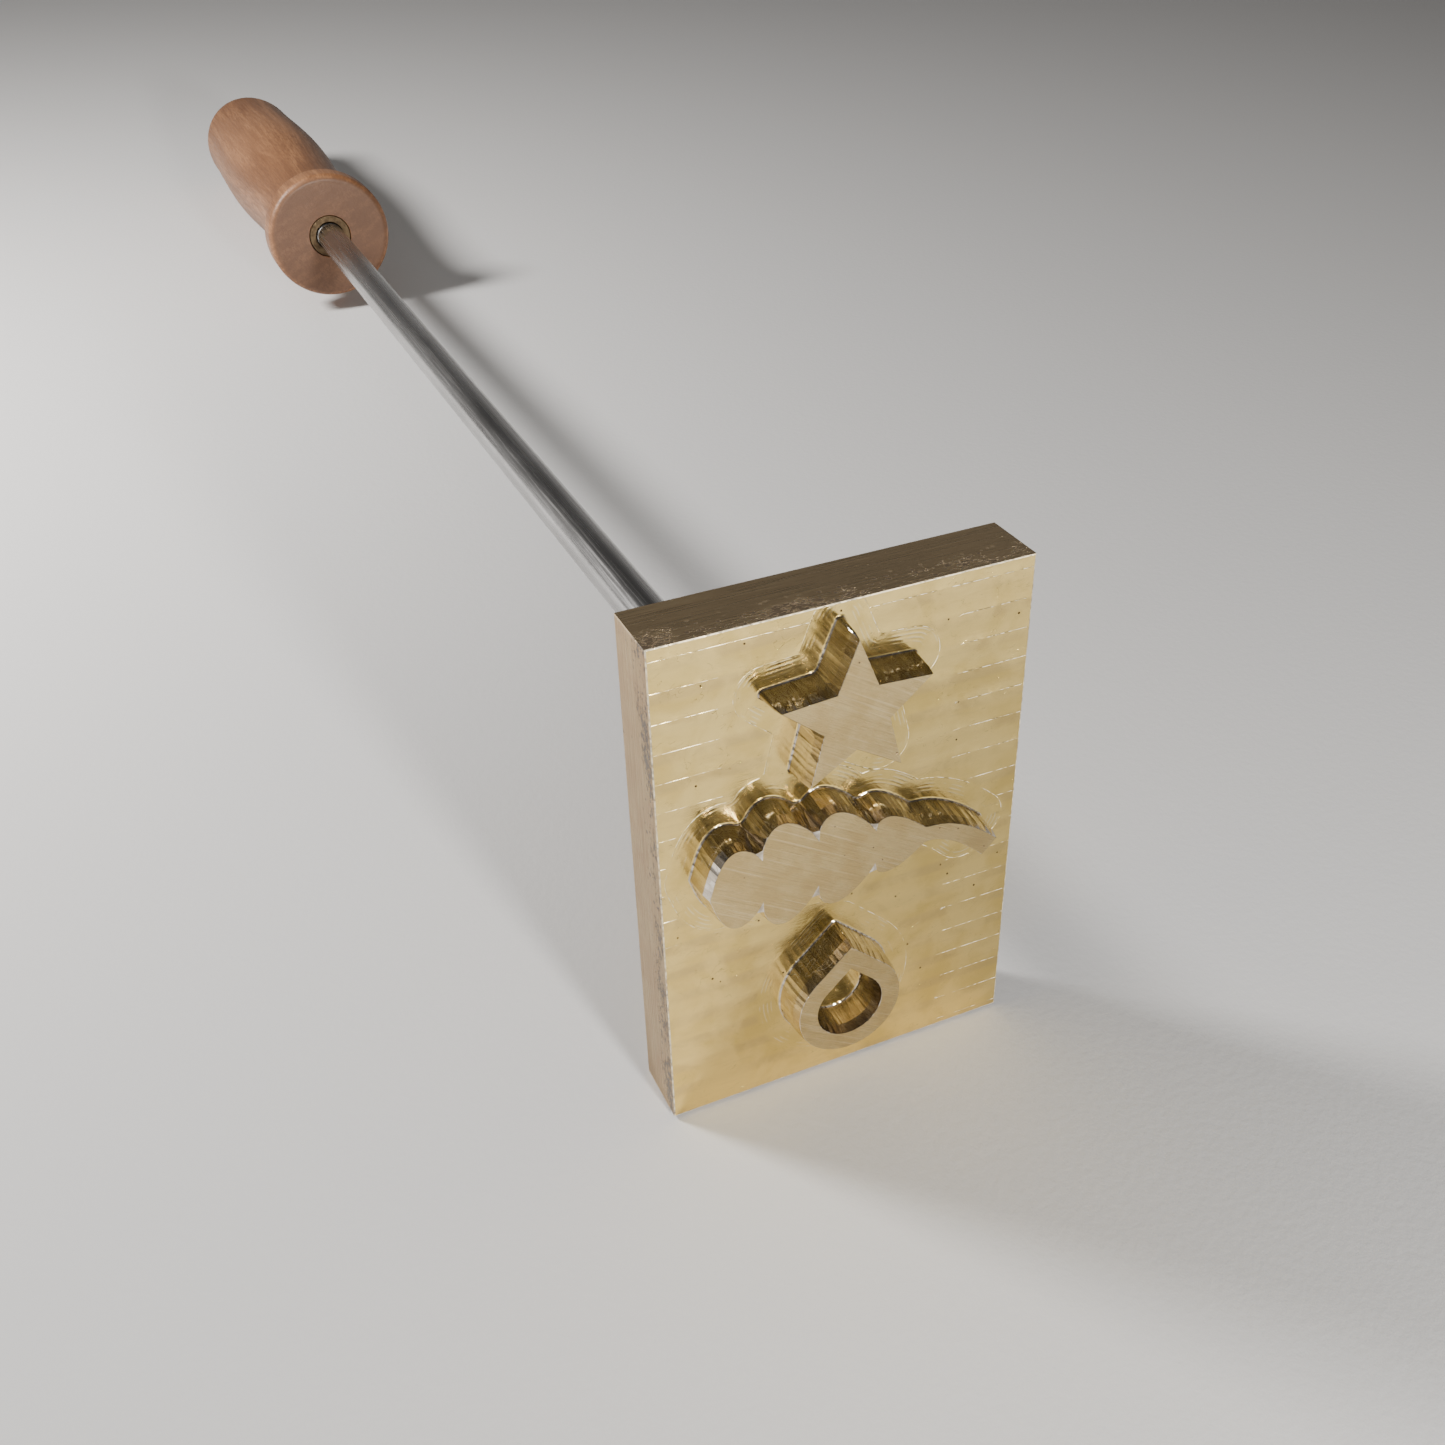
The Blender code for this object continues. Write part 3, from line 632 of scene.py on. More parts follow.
def add_surface(bm, columns, shift=0):
    """Faces between neighbouring columns of points round the axis.

    The last column meets the first one `shift` rows further on, as a helix does.
    """
    verts = [[bm.verts.new(point) for point in column] for column in columns]
    last = len(columns[0]) - 1
    for index, left in enumerate(verts):
        closing = index == len(verts) - 1
        right = verts[0] if closing else verts[index + 1]
        step = shift if closing else 0
        for row in range(last):
            near = right[min(row + step, last)]
            far = right[min(row + 1 + step, last)]
            corners = [left[row], left[row + 1], far]
            if near is not far:
                corners.append(near)
            bm.faces.new(corners)


def add_band(bm, loops, kind=0):
    """Faces between neighbouring closed loops that have the same number of points."""
    for near, far in zip(loops, loops[1:]):
        for k in range(len(near)):
            other = (k + 1) % len(near)
            face = bm.faces.new((near[k], near[other], far[other], far[k]))
            face.material_index = kind


def add_turned(bm, profile, segments):
    """A surface of revolution from (y, radius) pairs."""
    columns = [[around_axis(r, angle, y) for y, r in profile] for angle in around(segments)]
    add_surface(bm, columns)


def thread_depth_at(y, angle, pitch, depth):
    """How far the thread lies below its crest at a point of the helix."""
    phase = (y / pitch - angle / (2 * math.pi)) % 1.0
    return float(np.interp(phase, (*THREAD_BREAKS, 1.0), (0.0, 0.0, depth, depth, 0.0)))


def add_threaded(bm, start, end, radius_at, pitch):
    """A helical surface from start to end; radius_at gives the radius at (y, angle)."""
    per_turn = len(THREAD_BREAKS)
    first_turn = math.floor(start / pitch) - 1
    turns = math.ceil((end - start) / pitch) + 3
    columns = []
    for index, angle in enumerate(around(THREAD_SEGMENTS)):
        column = []
        for row in range(turns * per_turn):
            turn = first_turn + row // per_turn
            y = pitch * (turn + THREAD_BREAKS[row % per_turn] + index / THREAD_SEGMENTS)
            y = min(max(y, start), end)
            column.append(around_axis(radius_at(y, angle), angle, y))
        columns.append(column)
    add_surface(bm, columns, shift=per_turn)


def rod_thread_radius(tip, run_out_end):
    """The rod's thread: bevelled at its tip and fading out at run_out_end."""

    def radius_at(y, angle):
        depth = thread_depth_at(y, angle, PITCH, THREAD_DEPTH)
        fade = min(1.0, abs(run_out_end - y) / RUN_OUT)
        crest = THREAD_RADIUS + (ROD_RADIUS - THREAD_RADIUS) * (1.0 - fade)
        bevel = THREAD_RADIUS - THREAD_DEPTH + abs(y - tip)
        return min(crest - depth * fade, bevel)

    return radius_at


MOUTH_RADIUS = THREAD_RADIUS + THREAD_CLEARANCE + 0.15 * MM


def tapped_radius(mouths):
    """The radius of a tapped hole that is countersunk at the given stations."""

    def radius_at(y, angle):
        depth = thread_depth_at(y, angle, PITCH, THREAD_DEPTH)
        radius = THREAD_RADIUS + THREAD_CLEARANCE - depth
        return max([radius] + [MOUTH_RADIUS - abs(y - mouth) for mouth in mouths])

    return radius_at


def build_rod(material):
    bm = bmesh.new()
    front = rod_thread_radius(ROD_FRONT, FRONT_THREAD_END)
    rear = rod_thread_radius(ROD_REAR, REAR_THREAD_START)
    add_threaded(bm, ROD_FRONT, FRONT_THREAD_END, front, PITCH)
    add_threaded(bm, REAR_THREAD_START, ROD_REAR, rear, PITCH)
    shank = [(y, ROD_RADIUS) for y in np.linspace(FRONT_THREAD_END, REAR_THREAD_START, 40)]
    add_turned(bm, shank, THREAD_SEGMENTS)
    core = THREAD_RADIUS - THREAD_DEPTH
    add_turned(bm, [(ROD_FRONT, 0.0), (ROD_FRONT, core)], THREAD_SEGMENTS)
    add_turned(bm, [(ROD_REAR, core), (ROD_REAR, 0.0)], THREAD_SEGMENTS)
    add_piece("rod_ground", bm, [material], "shaft", "rod")


def build_lock_washer(material):
    """A split spring washer, pressed almost flat, with its ends a little out of line."""
    start = DIE_THICKNESS + GAP
    bm = bmesh.new()
    rings = []
    for index in range(WASHER_SECTIONS + 1):
        share = index / WASHER_SECTIONS
        angle = WASHER_SPLIT / 2 + (2 * math.pi - WASHER_SPLIT) * share
        y0 = start + WASHER_RISE * share
        y1 = start + WASHER_THICKNESS - WASHER_RISE * (1.0 - share)
        section = []
        for radius, y, inward, rising in (
            (WASHER_INNER, y0, 1.0, 1.0),
            (WASHER_OUTER, y0, -1.0, 1.0),
            (WASHER_OUTER, y1, -1.0, -1.0),
            (WASHER_INNER, y1, 1.0, -1.0),
        ):
            shares = ((0.0, 1.0), (0.3, 0.3), (1.0, 0.0))
            for across, along in shares if inward * rising > 0 else shares[::-1]:
                moved = y + rising * along * WASHER_CORNER
                section.append((radius + inward * across * WASHER_CORNER, moved))
        rings.append([bm.verts.new(around_axis(r, angle, y)) for r, y in section])
    add_band(bm, rings)
    bm.faces.new(rings[0])
    bm.faces.new(rings[-1])
    add_piece("spring_washer", bm, [material], "washer", "lock_washer", 40.0)


def build_lock_nut(material):
    """A hexagon nut, its corners turned off at 30 degrees at both faces."""
    start = DIE_THICKNESS + WASHER_THICKNESS + 2 * GAP
    end = start + NUT_THICKNESS
    columns = []
    for angle in around(THREAD_SEGMENTS):
        from_flat = angle % (math.pi / 3) - math.pi / 6
        radius = NUT_ACROSS_FLATS / 2 / math.cos(from_flat)
        fall = (radius - NUT_FACE) * math.tan(math.radians(30.0))
        profile = [(start, MOUTH_RADIUS), (start, NUT_FACE), (start + fall, radius)]
        profile += [(end - fall, radius), (end, NUT_FACE), (end, MOUTH_RADIUS)]
        columns.append([around_axis(r, angle, y) for y, r in profile])
    bm = bmesh.new()
    add_surface(bm, columns)
    add_threaded(bm, start, end, tapped_radius((start, end)), PITCH)
    add_piece("hex_nut", bm, [material], "shaft", "lock_nut", 25.0)


def build_handle_insert(material):
    """A brass insert with a coarse wood thread outside and the rod's thread inside."""
    start = HANDLE_FRONT + GAP
    end = start + INSERT_LENGTH
    rim = INSERT_RADIUS - INSERT_BREAK
    tail = INSERT_RADIUS - INSERT_THREAD_DEPTH

    def radius_at(y, angle):
        depth = thread_depth_at(y, angle, INSERT_PITCH, INSERT_THREAD_DEPTH)
        depth *= min(1.0, (y - start) / INSERT_PITCH)
        return min(INSERT_RADIUS - depth, rim + y - start, tail + end - y)

    bm = bmesh.new()
    add_threaded(bm, start, end, radius_at, INSERT_PITCH)
    add_threaded(bm, start, end, tapped_radius((start, end)), PITCH)
    add_turned(bm, [(start, rim), (start, MOUTH_RADIUS)], THREAD_SEGMENTS)
    add_turned(bm, [(end, MOUTH_RADIUS), (end, tail)], THREAD_SEGMENTS)
    add_piece("threaded_insert", bm, [material], "shaft", "handle_insert")


def eased(start, end, share):
    """A value that leaves start and reaches end without a slope at either."""
    return start + (end - start) * (1.0 - math.cos(math.pi * share)) / 2


def quarter_turn(steps):
    """(cosine, sine) pairs of the angles from 0 to a quarter turn."""
    angles = [math.pi / 2 * k / steps for k in range(steps + 1)]
    return [(math.cos(angle), math.sin(angle)) for angle in angles]


def handle_profile():
    """(y, radius) pairs from the flange's front face to the rounded far end."""
    flange_end = HANDLE_FRONT + FLANGE_THICKNESS
    neck = flange_end + COVE_LENGTH
    rounding = FLANGE_ROUNDING
    lip = FLANGE_RADIUS - rounding
    profile = []
    for cosine, sine in quarter_turn(10):
        profile.append((HANDLE_FRONT + rounding * (1.0 - cosine), lip + rounding * sine))
    for cosine, sine in quarter_turn(10):
        profile.append((flange_end - rounding * (1.0 - sine), lip + rounding * cosine))
    for cosine, sine in quarter_turn(10)[1:]:
        radius = lip - (lip - NECK_RADIUS) * sine
        profile.append((flange_end + COVE_LENGTH * (1.0 - cosine), radius))
    for start, end, first, last, steps in (
        (neck, BELLY_STATION, NECK_RADIUS, BELLY_RADIUS, 30),
        (BELLY_STATION, DOME_START, BELLY_RADIUS, END_RADIUS, 20),
    ):
        for k in range(1, steps + 1):
            profile.append((start + (end - start) * k / steps, eased(first, last, k / steps)))
    for cosine, sine in quarter_turn(24)[1:]:
        profile.append((DOME_START + (HANDLE_END - DOME_START) * sine, END_RADIUS * cosine))
    return profile


def build_handle(material):
    bore = INSERT_RADIUS + INSERT_FIT
    seat = HANDLE_FRONT + INSERT_LENGTH + 2 * GAP
    mouth = 0.1 * MM
    profile = [(BORE_END + DRILL_POINT, 0.0), (BORE_END, ROD_RADIUS + GAP)]
    profile += [(seat, ROD_RADIUS + GAP), (seat, bore), (HANDLE_FRONT + mouth, bore)]
    profile += [(HANDLE_FRONT, bore + mouth)]
    bm = bmesh.new()
    add_turned(bm, profile + handle_profile(), HANDLE_SEGMENTS)
    add_piece("turned_handle", bm, [material], "shaft", "handle", 40.0)


# ---- outlines of the raised figures


def star_outline():
    points = []
    for index in range(10):
        angle = math.pi / 2 + index * math.pi / 5
        radius = STAR_INNER if index % 2 else STAR_OUTER
        x = STAR_CENTRE[0] + radius * math.cos(angle)
        points.append((x, STAR_CENTRE[1] + radius * math.sin(angle)))
    return np.array(points)


def leaf_outline():
    """A lobed leaf from its tip at the left to a curved stem at the right."""
    t = np.linspace(0.0, 1.0, LEAF_LOBES * LEAF_POINTS_PER_LOBE + 1)
    envelope = LEAF_HALF_WIDTH * np.sin(np.pi * t**LEAF_NEAR_TIP) ** LEAF_ROUNDNESS
    lobes = np.abs(np.sin(np.pi * LEAF_LOBES * t)) ** LEAF_ROUNDNESS
    half = np.maximum(envelope * (1.0 - LEAF_NOTCH + LEAF_NOTCH * lobes), STEM_HALF_WIDTH)
    half[0] = 0.0
    lean = np.where(t > 0.0, LEAF_LEAN * (half - STEM_HALF_WIDTH), 0.0)
    x = LEAF_TIP[0] + LEAF_LENGTH * t - lean
    middle = LEAF_TIP[1] + LEAF_ARCH * np.sin(np.pi * t)
    upper = np.stack([x, middle + half], 1)
    lower = np.stack([x, middle - half], 1)

    s = np.linspace(0.0, 1.0, 10)[1:]
    centre_x = LEAF_TIP[0] + LEAF_LENGTH + STEM_REACH[0] * s
    centre_z = LEAF_TIP[1] + STEM_REACH[1] * s**STEM_CURVE
    slope = STEM_CURVE * STEM_REACH[1] * s ** (STEM_CURVE - 1.0) / STEM_REACH[0]
    across = np.stack([-slope, np.ones_like(s)], 1) / np.hypot(1.0, slope)[:, None]
    across *= (STEM_HALF_WIDTH * (1.0 + STEM_FLARE * s))[:, None]
    centre = np.stack([centre_x, centre_z], 1)
    stem_low = centre - across
    stem_high = centre + across
    return np.concatenate([lower, stem_low, stem_high[::-1], upper[::-1][:-1]])


def drop_outline(radius, apex, points):
    """A pear-shaped drop: a circle and its two tangents that meet above it."""
    touch = math.acos(radius / apex)
    angles = np.linspace(math.pi / 2 + touch, 2.5 * math.pi - touch, points)
    x = DROP_CENTRE[0] + radius * np.cos(angles)
    z = DROP_CENTRE[1] + radius * np.sin(angles)
    top = [[DROP_CENTRE[0], DROP_CENTRE[1] + apex]]
    return np.concatenate([top, np.stack([x, z], 1)])


def figure_outlines():
    """Outer outlines run anticlockwise and the drop's hole clockwise: metal is on the left."""
    inner_radius = DROP_RADIUS - DROP_WALL
    inner_apex = DROP_APEX * inner_radius / DROP_RADIUS
    hole = drop_outline(inner_radius, inner_apex, points=28)[::-1]
    return [star_outline(), leaf_outline(), drop_outline(DROP_RADIUS, DROP_APEX, 40), hole]


OUTLINES = figure_outlines()
EDGES = [edge for outline in OUTLINES for edge in zip(outline, np.roll(outline, -1, axis=0))]


# ---- milled relief


SAMPLE_STEP = 0.06 * MM
SHARP_TURN = math.radians(25.0)
FAN_STEP = math.radians(9.0)
THINNING = 0.002 * MM
TOUCHING = 0.002 * MM
MITRE_LIMIT = 0.35


def unit(vector):
    return vector / np.linalg.norm(vector)


def rotated(vector, angle):
    c, s = math.cos(angle), math.sin(angle)
    return np.array([c * vector[0] - s * vector[1], s * vector[0] + c * vector[1]])


def turn_between(first, second):
    """The angle from one direction to another, growing anticlockwise."""
    cross = first[0] * second[1] - first[1] * second[0]
    return math.atan2(cross, float(first @ second))


def outline_corners(outline):
    """Each point, the next one, and the outward normals of the edges before and after it."""
    after = np.roll(outline, -1, axis=0)
    normals = [unit(np.array([z, -x])) for x, z in after - outline]
    return zip(outline, after, np.roll(normals, 1, axis=0), normals)


def outline_samples(outline):
    """Close samples (point, normal away from the metal) along a closed outline."""
    samples = []
    for here, after, first, second in outline_corners(outline):
        turn = turn_between(first, second)
        if turn > SHARP_TURN:
            fan = math.ceil(turn / FAN_STEP)
            samples += [(here, rotated(first, turn * k / fan)) for k in range(fan + 1)]
        elif turn < -SHARP_TURN:
            samples += [(here, first), (here, second)]
        else:
            samples.append((here, unit(first + second)))
        length = np.linalg.norm(after - here)
        steps = max(1, int(length / SAMPLE_STEP))
        samples += [(here + (after - here) * k / steps, second) for k in range(1, steps)]
    return samples


def distance_to_outlines(points):
    """Distance from each point to the nearest edge of any outline."""
    nearest = np.full(len(points), np.inf)
    for start, end in EDGES:
        along = end - start
        t = np.clip((points - start) @ along / (along @ along), 0.0, 1.0)
        gap = points - (start + t[:, None] * along)
        nearest = np.minimum(nearest, np.hypot(gap[:, 0], gap[:, 1]))
    return nearest


def distance_to_points(points, others):
    """Distance from each point to the nearest of others."""
    nearest = np.full(len(points), np.inf)
    for chunk in np.array_split(others, 16):
        gap = points[:, None, :] - chunk[None, :, :]
        nearest = np.minimum(nearest, np.hypot(gap[..., 0], gap[..., 1]).min(axis=1))
    return nearest


def inside_metal(points):
    """Even-odd test of each point against all the outlines together."""
    inside = np.zeros(len(points), dtype=bool)
    for start, end in EDGES:
        if start[1] == end[1]:
            continue
        straddles = (start[1] > points[:, 1]) != (end[1] > points[:, 1])
        t = (points[:, 1] - start[1]) / (end[1] - start[1])
        inside ^= straddles & (points[:, 0] < start[0] + t * (end[0] - start[0]))
    return inside


def corner_fan(arriving, leaving):
    """Samples whose normals turn about the point where two offset sides of a corner meet."""
    (end, end_normal), (start, start_normal) = arriving, leaving
    centre = (end + start + PATH_OFFSET * (end_normal + start_normal)) / 2
    turn = turn_between(end_normal, start_normal)
    count = 2 * math.ceil(abs(turn) / FAN_STEP / 2)
    normals = [rotated(end_normal, turn * k / count) for k in range(count + 1)]
    return [(centre - PATH_OFFSET * normal, normal) for normal in normals]


def mill_paths():
    """Paths of (outline point, normal) that the end mill's axis follows, PATH_OFFSET away.

    Where the axis would come too near the metal, in an inner corner, the path skips the corner
    and turns round the point where its two sides meet.
    """
    paths = []
    for outline in OUTLINES:
        samples = outline_samples(outline)
        axis = np.array([point + PATH_OFFSET * normal for point, normal in samples])
        clear = distance_to_outlines(axis) > PATH_OFFSET - TOUCHING
        start = int(np.argmin(clear))
        path = []
        skipped = False
        for index in (*range(start, len(samples)), *range(start)):
            if not clear[index]:
                skipped = True
                continue
            if skipped and path:
                path = path[:-1] + corner_fan(path[-1], samples[index])
            else:
                path.append(samples[index])
            skipped = False
        if skipped or not clear[start]:
            path = path[:-1] + corner_fan(path[-1], path[0])
        paths.append(path)
    return paths


def thinned(points):
    """Leaves out the points of a polyline that lie within THINNING of their neighbours' line."""
    if len(points) < 3:
        return points
    first, last = points[0], points[-1]
    chord = last - first
    length = np.linalg.norm(chord)
    inner = points[1:-1] - first
    if length < 1e-9:
        gaps = np.hypot(inner[:, 0], inner[:, 1])
    else:
        gaps = np.abs(inner[:, 0] * chord[1] - inner[:, 1] * chord[0]) / length
    worst = int(np.argmax(gaps)) + 1
    if gaps[worst - 1] <= THINNING:
        return np.array([first, last])
    return np.concatenate([thinned(points[: worst + 1])[:-1], thinned(points[worst:])])


def mill_height(radius):
    """Height of the end mill's side at a distance from its own axis."""
    inner = np.clip((radius - MILL_FLAT) / MILL_CORNER, 0.0, 1.0)
    corner = MILL_CORNER * (1.0 - np.sqrt(1.0 - inner**2))
    side = MILL_CORNER + (radius - MILL_RADIUS) / MILL_TAPER
    return np.where(radius > MILL_RADIUS, side, corner)


def pass_stations():
    """Heights on the die at which neighbouring milling passes meet in the margins."""
    count = int((PASS_FIRST + DIE_HEIGHT / 2) / PASS_SPACING) + 1
    return [PASS_FIRST - k * PASS_SPACING for k in range(count)]


def wander(points, scale, slice_at):
    """Soft noise over the die's plane, from about -1 to 1."""
    places = [(x / MM * scale, z / MM * scale, slice_at) for x, z in points]
    return np.array([noise.noise(Vector(place)) for place in places])


def ridge_strength(points):
    """A number from 0 to 1 that wanders from place to place, for ridges that come and go."""
    strength = 0.55 + 0.7 * wander(points, 0.9, 3.7) + 0.6 * wander(points, 3.1, 9.1)
    strength = np.clip(strength, 0.08, 1.0)
    rubbed = (points[:, 0] < 0.0) * np.clip((RUBBED_BELOW - points[:, 1]) / (6.0 * MM), 0.0, 0.9)
    return strength * (1.0 - rubbed)


def ridge_heights(points, clearance):
    """Height of the small ridges between milling passes, over the field."""
    round_figures = np.clip(1.0 - np.abs(clearance - CLEARING) / RIDGE_HALF_WIDTH, 0.0, 1.0)
    x, z = points[:, 0], points[:, 1]
    in_margin = (x < MARGIN_LEFT) | (x > MARGIN_RIGHT)
    in_margin &= clearance > CLEARING + 0.3 * MM
    between = np.zeros(len(points))
    for station in pass_stations():
        top = station == PASS_FIRST
        here = in_margin | (top & (clearance > CLEARING))
        ridge = np.clip(1.0 - np.abs(z - station) / RIDGE_HALF_WIDTH, 0.0, 1.0)
        between = np.maximum(between, np.where(here, ridge, 0.0))
    height = np.maximum(round_figures, between)
    marked = height > 0.0
    height[marked] *= RIDGE_HEIGHT * ridge_strength(points[marked])
    return height


def relief_heights(points, axis_points):
    """Height of the milled surface over the field at each point."""
    clearance = distance_to_outlines(points)
    metal = inside_metal(points)
    near = (clearance < PATH_OFFSET) & ~metal
    milled = np.zeros(len(points))
    milled[near] = mill_height(distance_to_points(points[near], axis_points))
    coned = RELIEF_HEIGHT - clearance / CONE_SLOPE
    height = np.clip(np.minimum(milled, coned), 0.0, RELIEF_HEIGHT)
    chamfered = RELIEF_HEIGHT - TOP_CHAMFER + clearance
    height = np.where(metal, np.minimum(chamfered, RELIEF_HEIGHT), height)
    height = np.where(clearance < 1e-8, RELIEF_HEIGHT - TOP_CHAMFER, height)
    return np.where(near | metal, height, height + ridge_heights(points, clearance))


FRONT_HALF = np.array([DIE_WIDTH, DIE_HEIGHT]) / 2 - EDGE_BREAK


def stepped(start, end, step):
    """Points from start to end, both included, about step apart."""
    count = max(1, round(float(np.linalg.norm(end - start)) / step))
    return np.array([start + (end - start) * k / count for k in range(count + 1)])


def inner_chamfer(outline):
    """The outline moved into the metal by the chamfer's width."""
    moved = []
    for here, _, first, second in outline_corners(outline):
        outward = unit(first + second)
        moved.append(here - outward * TOP_CHAMFER / max(MITRE_LIMIT, float(outward @ first)))
    return np.array(moved)


def offset_runs(distance):
    """Stretches of the curve that lies at a distance from the figures, outside the metal."""
    runs = []
    for outline in OUTLINES[:3]:
        curve = np.array([point + distance * normal for point, normal in outline_samples(outline)])
        clear = distance_to_outlines(curve) > distance - 2 * TOUCHING
        runs.append([])
        for point, keep in zip(curve, clear):
            if not keep:
                runs.append([])
            elif not runs[-1] or np.linalg.norm(point - runs[-1][-1]) > RIDGE_STEP:
                runs[-1].append(point)
    return [np.array(run) for run in runs if len(run) > 1]


def pass_runs():
    """The margins' milling passes as straight stretches on the field."""
    half = FRONT_HALF[0] - PASS_MARGIN
    margins = ((-half, MARGIN_LEFT), (MARGIN_RIGHT, half))
    runs = []
    for station in pass_stations():
        for left, right in ((-half, half),) if station == PASS_FIRST else margins:
            for side in (-RIDGE_HALF_WIDTH, 0.0, RIDGE_HALF_WIDTH):
                z = station + side
                runs.append(stepped(np.array([left, z]), np.array([right, z]), RIDGE_STEP))
    return runs


def perimeter():
    """The edge of the milled front, with close points for its burr."""
    corners = FRONT_HALF * [[-1, -1], [1, -1], [1, 1], [-1, 1]]
    sides = zip(corners, np.roll(corners, -1, axis=0))
    return np.concatenate([stepped(start, end, EDGE_STEP)[:-1] for start, end in sides])


def field_grid(points_taken):
    """Loose points over the field, away from every polyline."""
    halves = (DIE_WIDTH / 2 - GRID_MARGIN, DIE_HEIGHT / 2 - GRID_MARGIN)
    xs, zs = [np.arange(-half, half, FIELD_GRID) for half in halves]
    grid = np.array([(x, z) for x in xs for z in zs])
    return grid[distance_to_points(grid, points_taken) > 0.45 * FIELD_GRID]


def relief_plan():
    """The milled front as triangles in the die's plane, with a height for each point."""
    paths = mill_paths()
    rounding = [math.sin(math.radians(angle)) for angle in (65.0, 45.0, 25.0)]
    radii = [WALL_TOP_RADIUS, MILL_RADIUS]
    radii += [MILL_FLAT + MILL_CORNER * share for share in rounding]
    radii.append(MILL_FLAT)

    edge = perimeter()
    polylines = [(outline, True) for outline in OUTLINES]
    polylines += [(inner_chamfer(outline), True) for outline in OUTLINES]
    for path in paths:
        for radius in radii:
            curve = np.array([point + (PATH_OFFSET - radius) * normal for point, normal in path])
            polylines.append((thinned(np.concatenate([curve, curve[:1]])), False))
    for distance in (CLEARING - RIDGE_HALF_WIDTH, CLEARING, CLEARING + RIDGE_HALF_WIDTH):
        polylines += [(run, False) for run in offset_runs(distance)]
    polylines += [(run, False) for run in pass_runs()]
    limit = FRONT_HALF - 1e-6
    polylines = [(np.clip(line, -limit, limit), closed) for line, closed in polylines]
    polylines.append((edge, True))
    taken = np.concatenate([line for line, _ in polylines])

    points, edges = [], []
    for line, closed in polylines:
        base = len(points)
        points += [Vector((float(x), float(z))) for x, z in line]
        edges += [(base + k, base + k + 1) for k in range(len(line) - 1)]
        if closed:
            edges.append((base + len(line) - 1, base))
    points += [Vector((float(x), float(z))) for x, z in field_grid(taken)]
    plan, _, triangles, *_ = delaunay_2d_cdt(points, edges, [], 0, 1e-6, True)

    flat = np.array([(p.x, p.y) for p in plan])
    axis_points = [point + PATH_OFFSET * normal for path in paths for point, normal in path]
    heights = relief_heights(flat, np.array(axis_points))
    heights[(np.abs(flat) > limit).any(axis=1)] = 0.0
    return flat, heights, triangles, edge


FIELD, TOP, WALL, SIDE, BACK = range(5)


def surface_kind(heights):
    """Which of the die's finishes a triangle of the milled front has."""
    if min(heights) > RELIEF_HEIGHT - 1e-7:
        return TOP
    if max(heights) - min(heights) > 1.5 * RIDGE_HEIGHT or min(heights) > RIDGE_HEIGHT:
        return WALL
    return FIELD


def add_back(bm, loop):
    """The die's flat back, between its outer edge and the mouth of the tapped hole."""
    mouth = [around_axis(MOUTH_RADIUS, angle, 0.0) for angle in around(THREAD_SEGMENTS)]
    points = []
    edges = []
    for ring in ([vert.co for vert in loop], mouth):
        base = len(points)
        points += [Vector((point.x, point.z)) for point in ring]
        edges += [(base + k, base + (k + 1) % len(ring)) for k in range(len(ring))]
    plan, _, triangles, *_ = delaunay_2d_cdt(points, edges, [], 0, 1e-7, True)
    verts = [bm.verts.new((point.x, DIE_THICKNESS, point.y)) for point in plan]
    for triangle in triangles:
        if max(plan[index].length for index in triangle) > MOUTH_RADIUS + 1e-6:
            face = bm.faces.new([verts[index] for index in triangle])
            face.material_index = BACK


def add_sides(bm, edge):
    """The die's sides with their broken edges and the burr; returns the loop at the back."""
    loops = []
    for y, out in (
        (0.0, 0.0),
        (0.4 * EDGE_BREAK, 0.8 * EDGE_BREAK),
        (EDGE_BREAK, EDGE_BREAK),
        (DIE_THICKNESS - EDGE_BREAK, EDGE_BREAK),
        (DIE_THICKNESS, 0.0),
    ):
        loop = []
        for x, z in edge:
            uneven = noise.noise(Vector((x / MM * 1.7, y / MM, z / MM * 1.7)))
            rise = BURR * max(0.0, 0.3 + uneven) if 0.0 < y < EDGE_BREAK else 0.0
            wider, higher = (FRONT_HALF + out) / FRONT_HALF
            loop.append(bm.verts.new((x * wider, y - rise, z * higher)))
        loops.append(loop)
    add_band(bm, loops, SIDE)
    return loops[-1]


def add_tapped_hole(bm):
    tapped = tapped_radius((DIE_THICKNESS,))
    add_threaded(bm, HOLE_BOTTOM, DIE_THICKNESS, tapped, PITCH)
    turns = around(THREAD_SEGMENTS)
    bottom = [around_axis(tapped(HOLE_BOTTOM, turn), turn, HOLE_BOTTOM) for turn in turns]
    bm.faces.new([bm.verts.new(point) for point in bottom])
    for face in bm.faces:
        middle = face.calc_center_median()
        if math.hypot(middle.x, middle.z) < MOUTH_RADIUS and middle.y > HOLE_BOTTOM - 1e-6:
            face.material_index = WALL


def build_die(materials):
    plan, heights, triangles, edge = relief_plan()
    bm = bmesh.new()
    front = [bm.verts.new((x, -h, z)) for (x, z), h in zip(plan, heights)]
    for triangle in triangles:
        face = bm.faces.new([front[index] for index in triangle])
        face.material_index = surface_kind([heights[index] for index in triangle])
    add_back(bm, add_sides(bm, edge))
    add_tapped_hole(bm)
    die = add_piece("milled_die", bm, materials, "die", "stamp_plate", 7.0)
    places = read_points(die.data, "co")
    write_layer(die.data, "clearance", distance_to_outlines(places[:, [0, 2]]) / MM)


# ---- studio


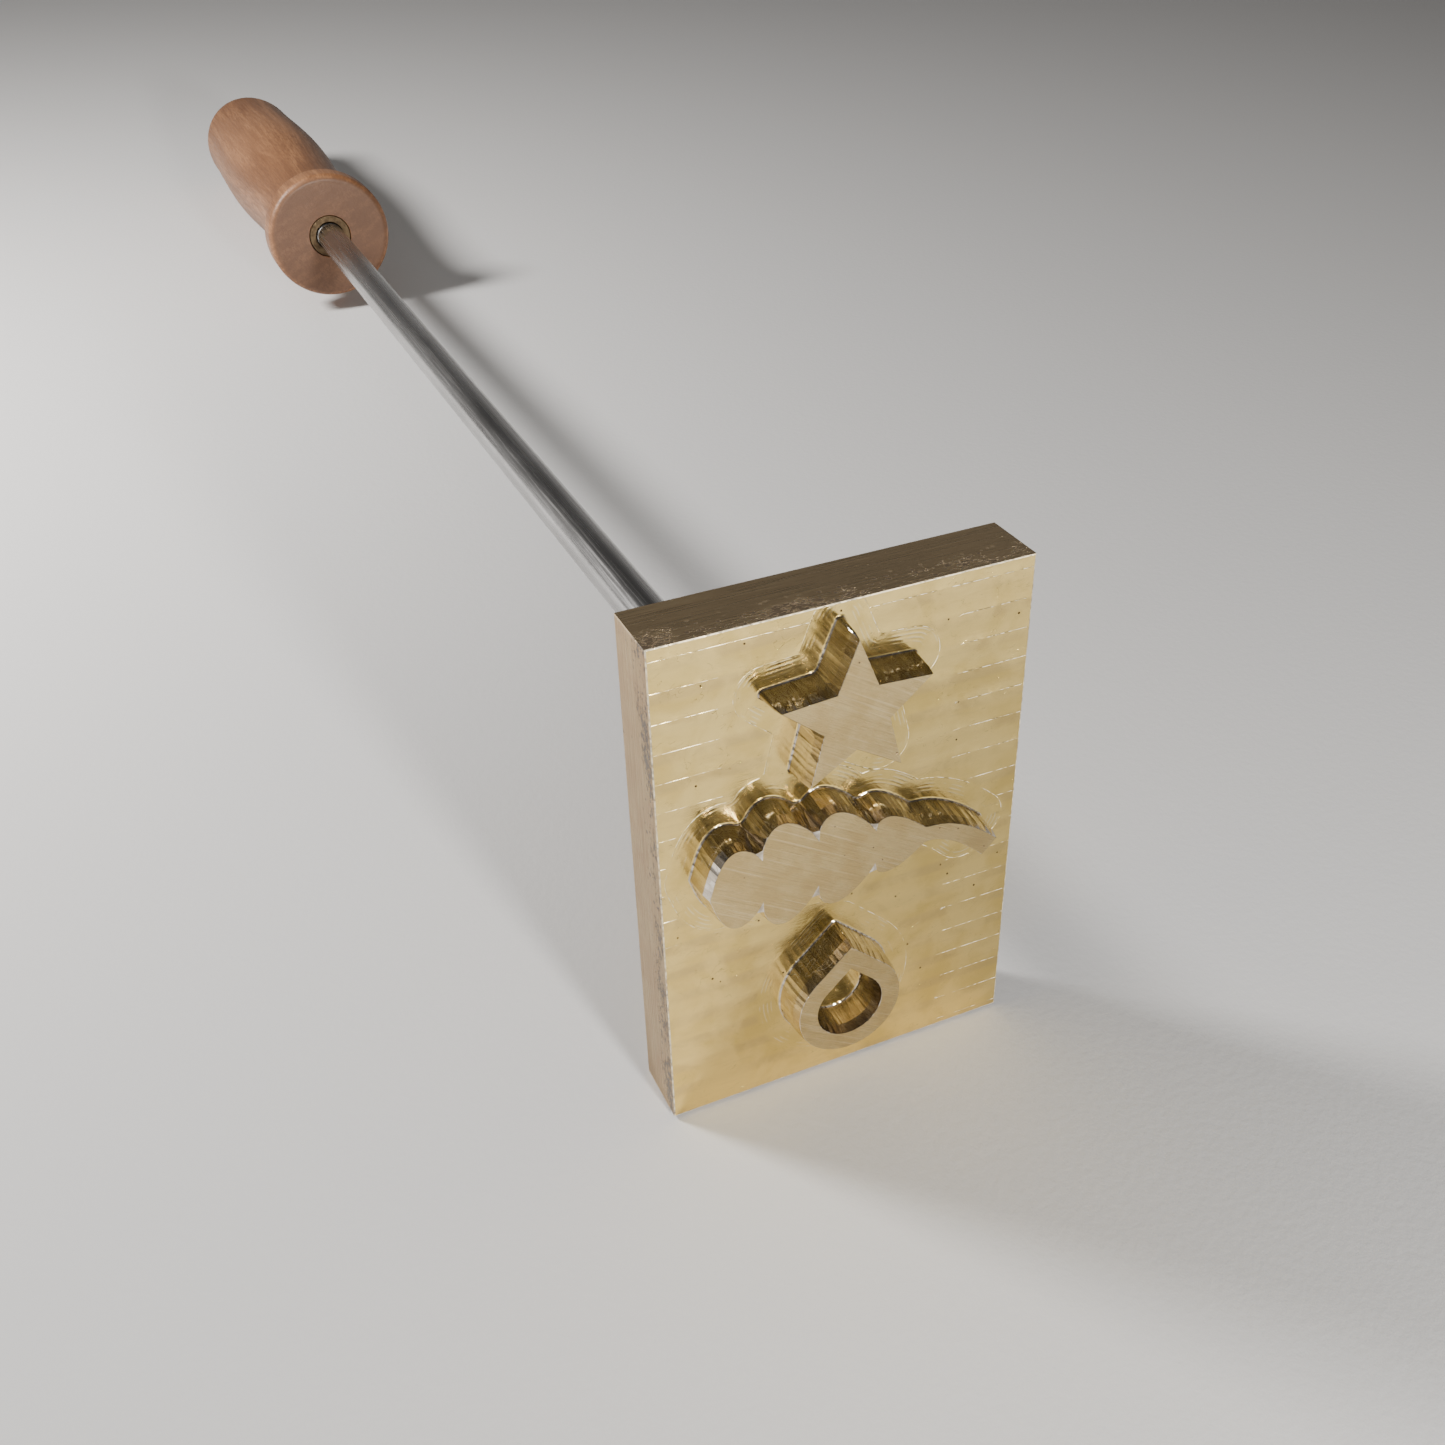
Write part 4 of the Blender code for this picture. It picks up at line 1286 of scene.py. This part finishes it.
def look_from(obj, place, aim, roll_degrees=0.0):
    direction = Vector(aim) - Vector(place)
    turned = direction.to_track_quat("-Z", "Y").to_matrix().to_4x4()
    turned @= Matrix.Rotation(math.radians(roll_degrees), 4, "Z")
    obj.matrix_world = Matrix.Translation(place) @ turned


def add_camera():
    data = bpy.data.cameras.new("camera")
    data.sensor_width = 36.0
    data.lens = CAMERA_LENS
    data.clip_start = 0.001
    data.clip_end = 20.0
    camera = add_object("camera", data)
    look_from(camera, CAMERA_PLACE, CAMERA_AIM, CAMERA_ROLL)
    bpy.context.scene.camera = camera


def add_light(name, kind, place, aim, radius, power, colour):
    """A round light, which shines all ways as a POINT and in a cone round its aim as a SPOT."""
    data = bpy.data.lights.new(name, kind)
    data.energy = power
    data.color = colour
    data.shadow_soft_size = radius
    light = add_object(name, data)
    light.visible_camera = False
    look_from(light, place, aim)
    return data


def add_lights():
    add_light("side", "POINT", BULB_PLACE, (0.0, 0.0, 0.0), BULB_RADIUS, BULB_POWER, WARM)
    lamp = add_light("front", "SPOT", LAMP_PLACE, LAMP_AIM, LAMP_RADIUS, LAMP_POWER, LAMP_COLOUR)
    lamp.spot_size = math.radians(LAMP_CONE)
    lamp.spot_blend = LAMP_EDGE


def add_floor():
    bm = bmesh.new()
    bmesh.ops.create_grid(bm, x_segments=8, y_segments=8, size=FLOOR_SIZE / 2)
    floor = add_object("floor", to_mesh("floor", bm))
    floor.data.materials.append(floor_paper())


def add_room():
    """An even glow all round that is darker overhead."""
    s = Shader("studio", bpy.data.worlds, "Background")
    split = s.node("SeparateXYZ")
    s.put(split.inputs[0], s.node("TexCoord").outputs["Generated"])
    glow = s.span(split.outputs[2], ROOM_PALE_BELOW, ROOM_DARK_ABOVE, ROOM_PALE, ROOM_DARK)
    s.fill(s.surface, Color=WARM, Strength=glow)
    bpy.context.scene.world = s.owner


# ---- the tool


build_die([brass_field(), brass_top(), brass_wall(), brass_side(), brass_back()])
build_rod(ground_steel())
zinc = zinc_plate()
build_lock_washer(zinc)
build_lock_nut(zinc)
build_handle_insert(brass_insert())
build_handle(turned_beech())
add_floor()
add_room()
add_lights()
add_camera()
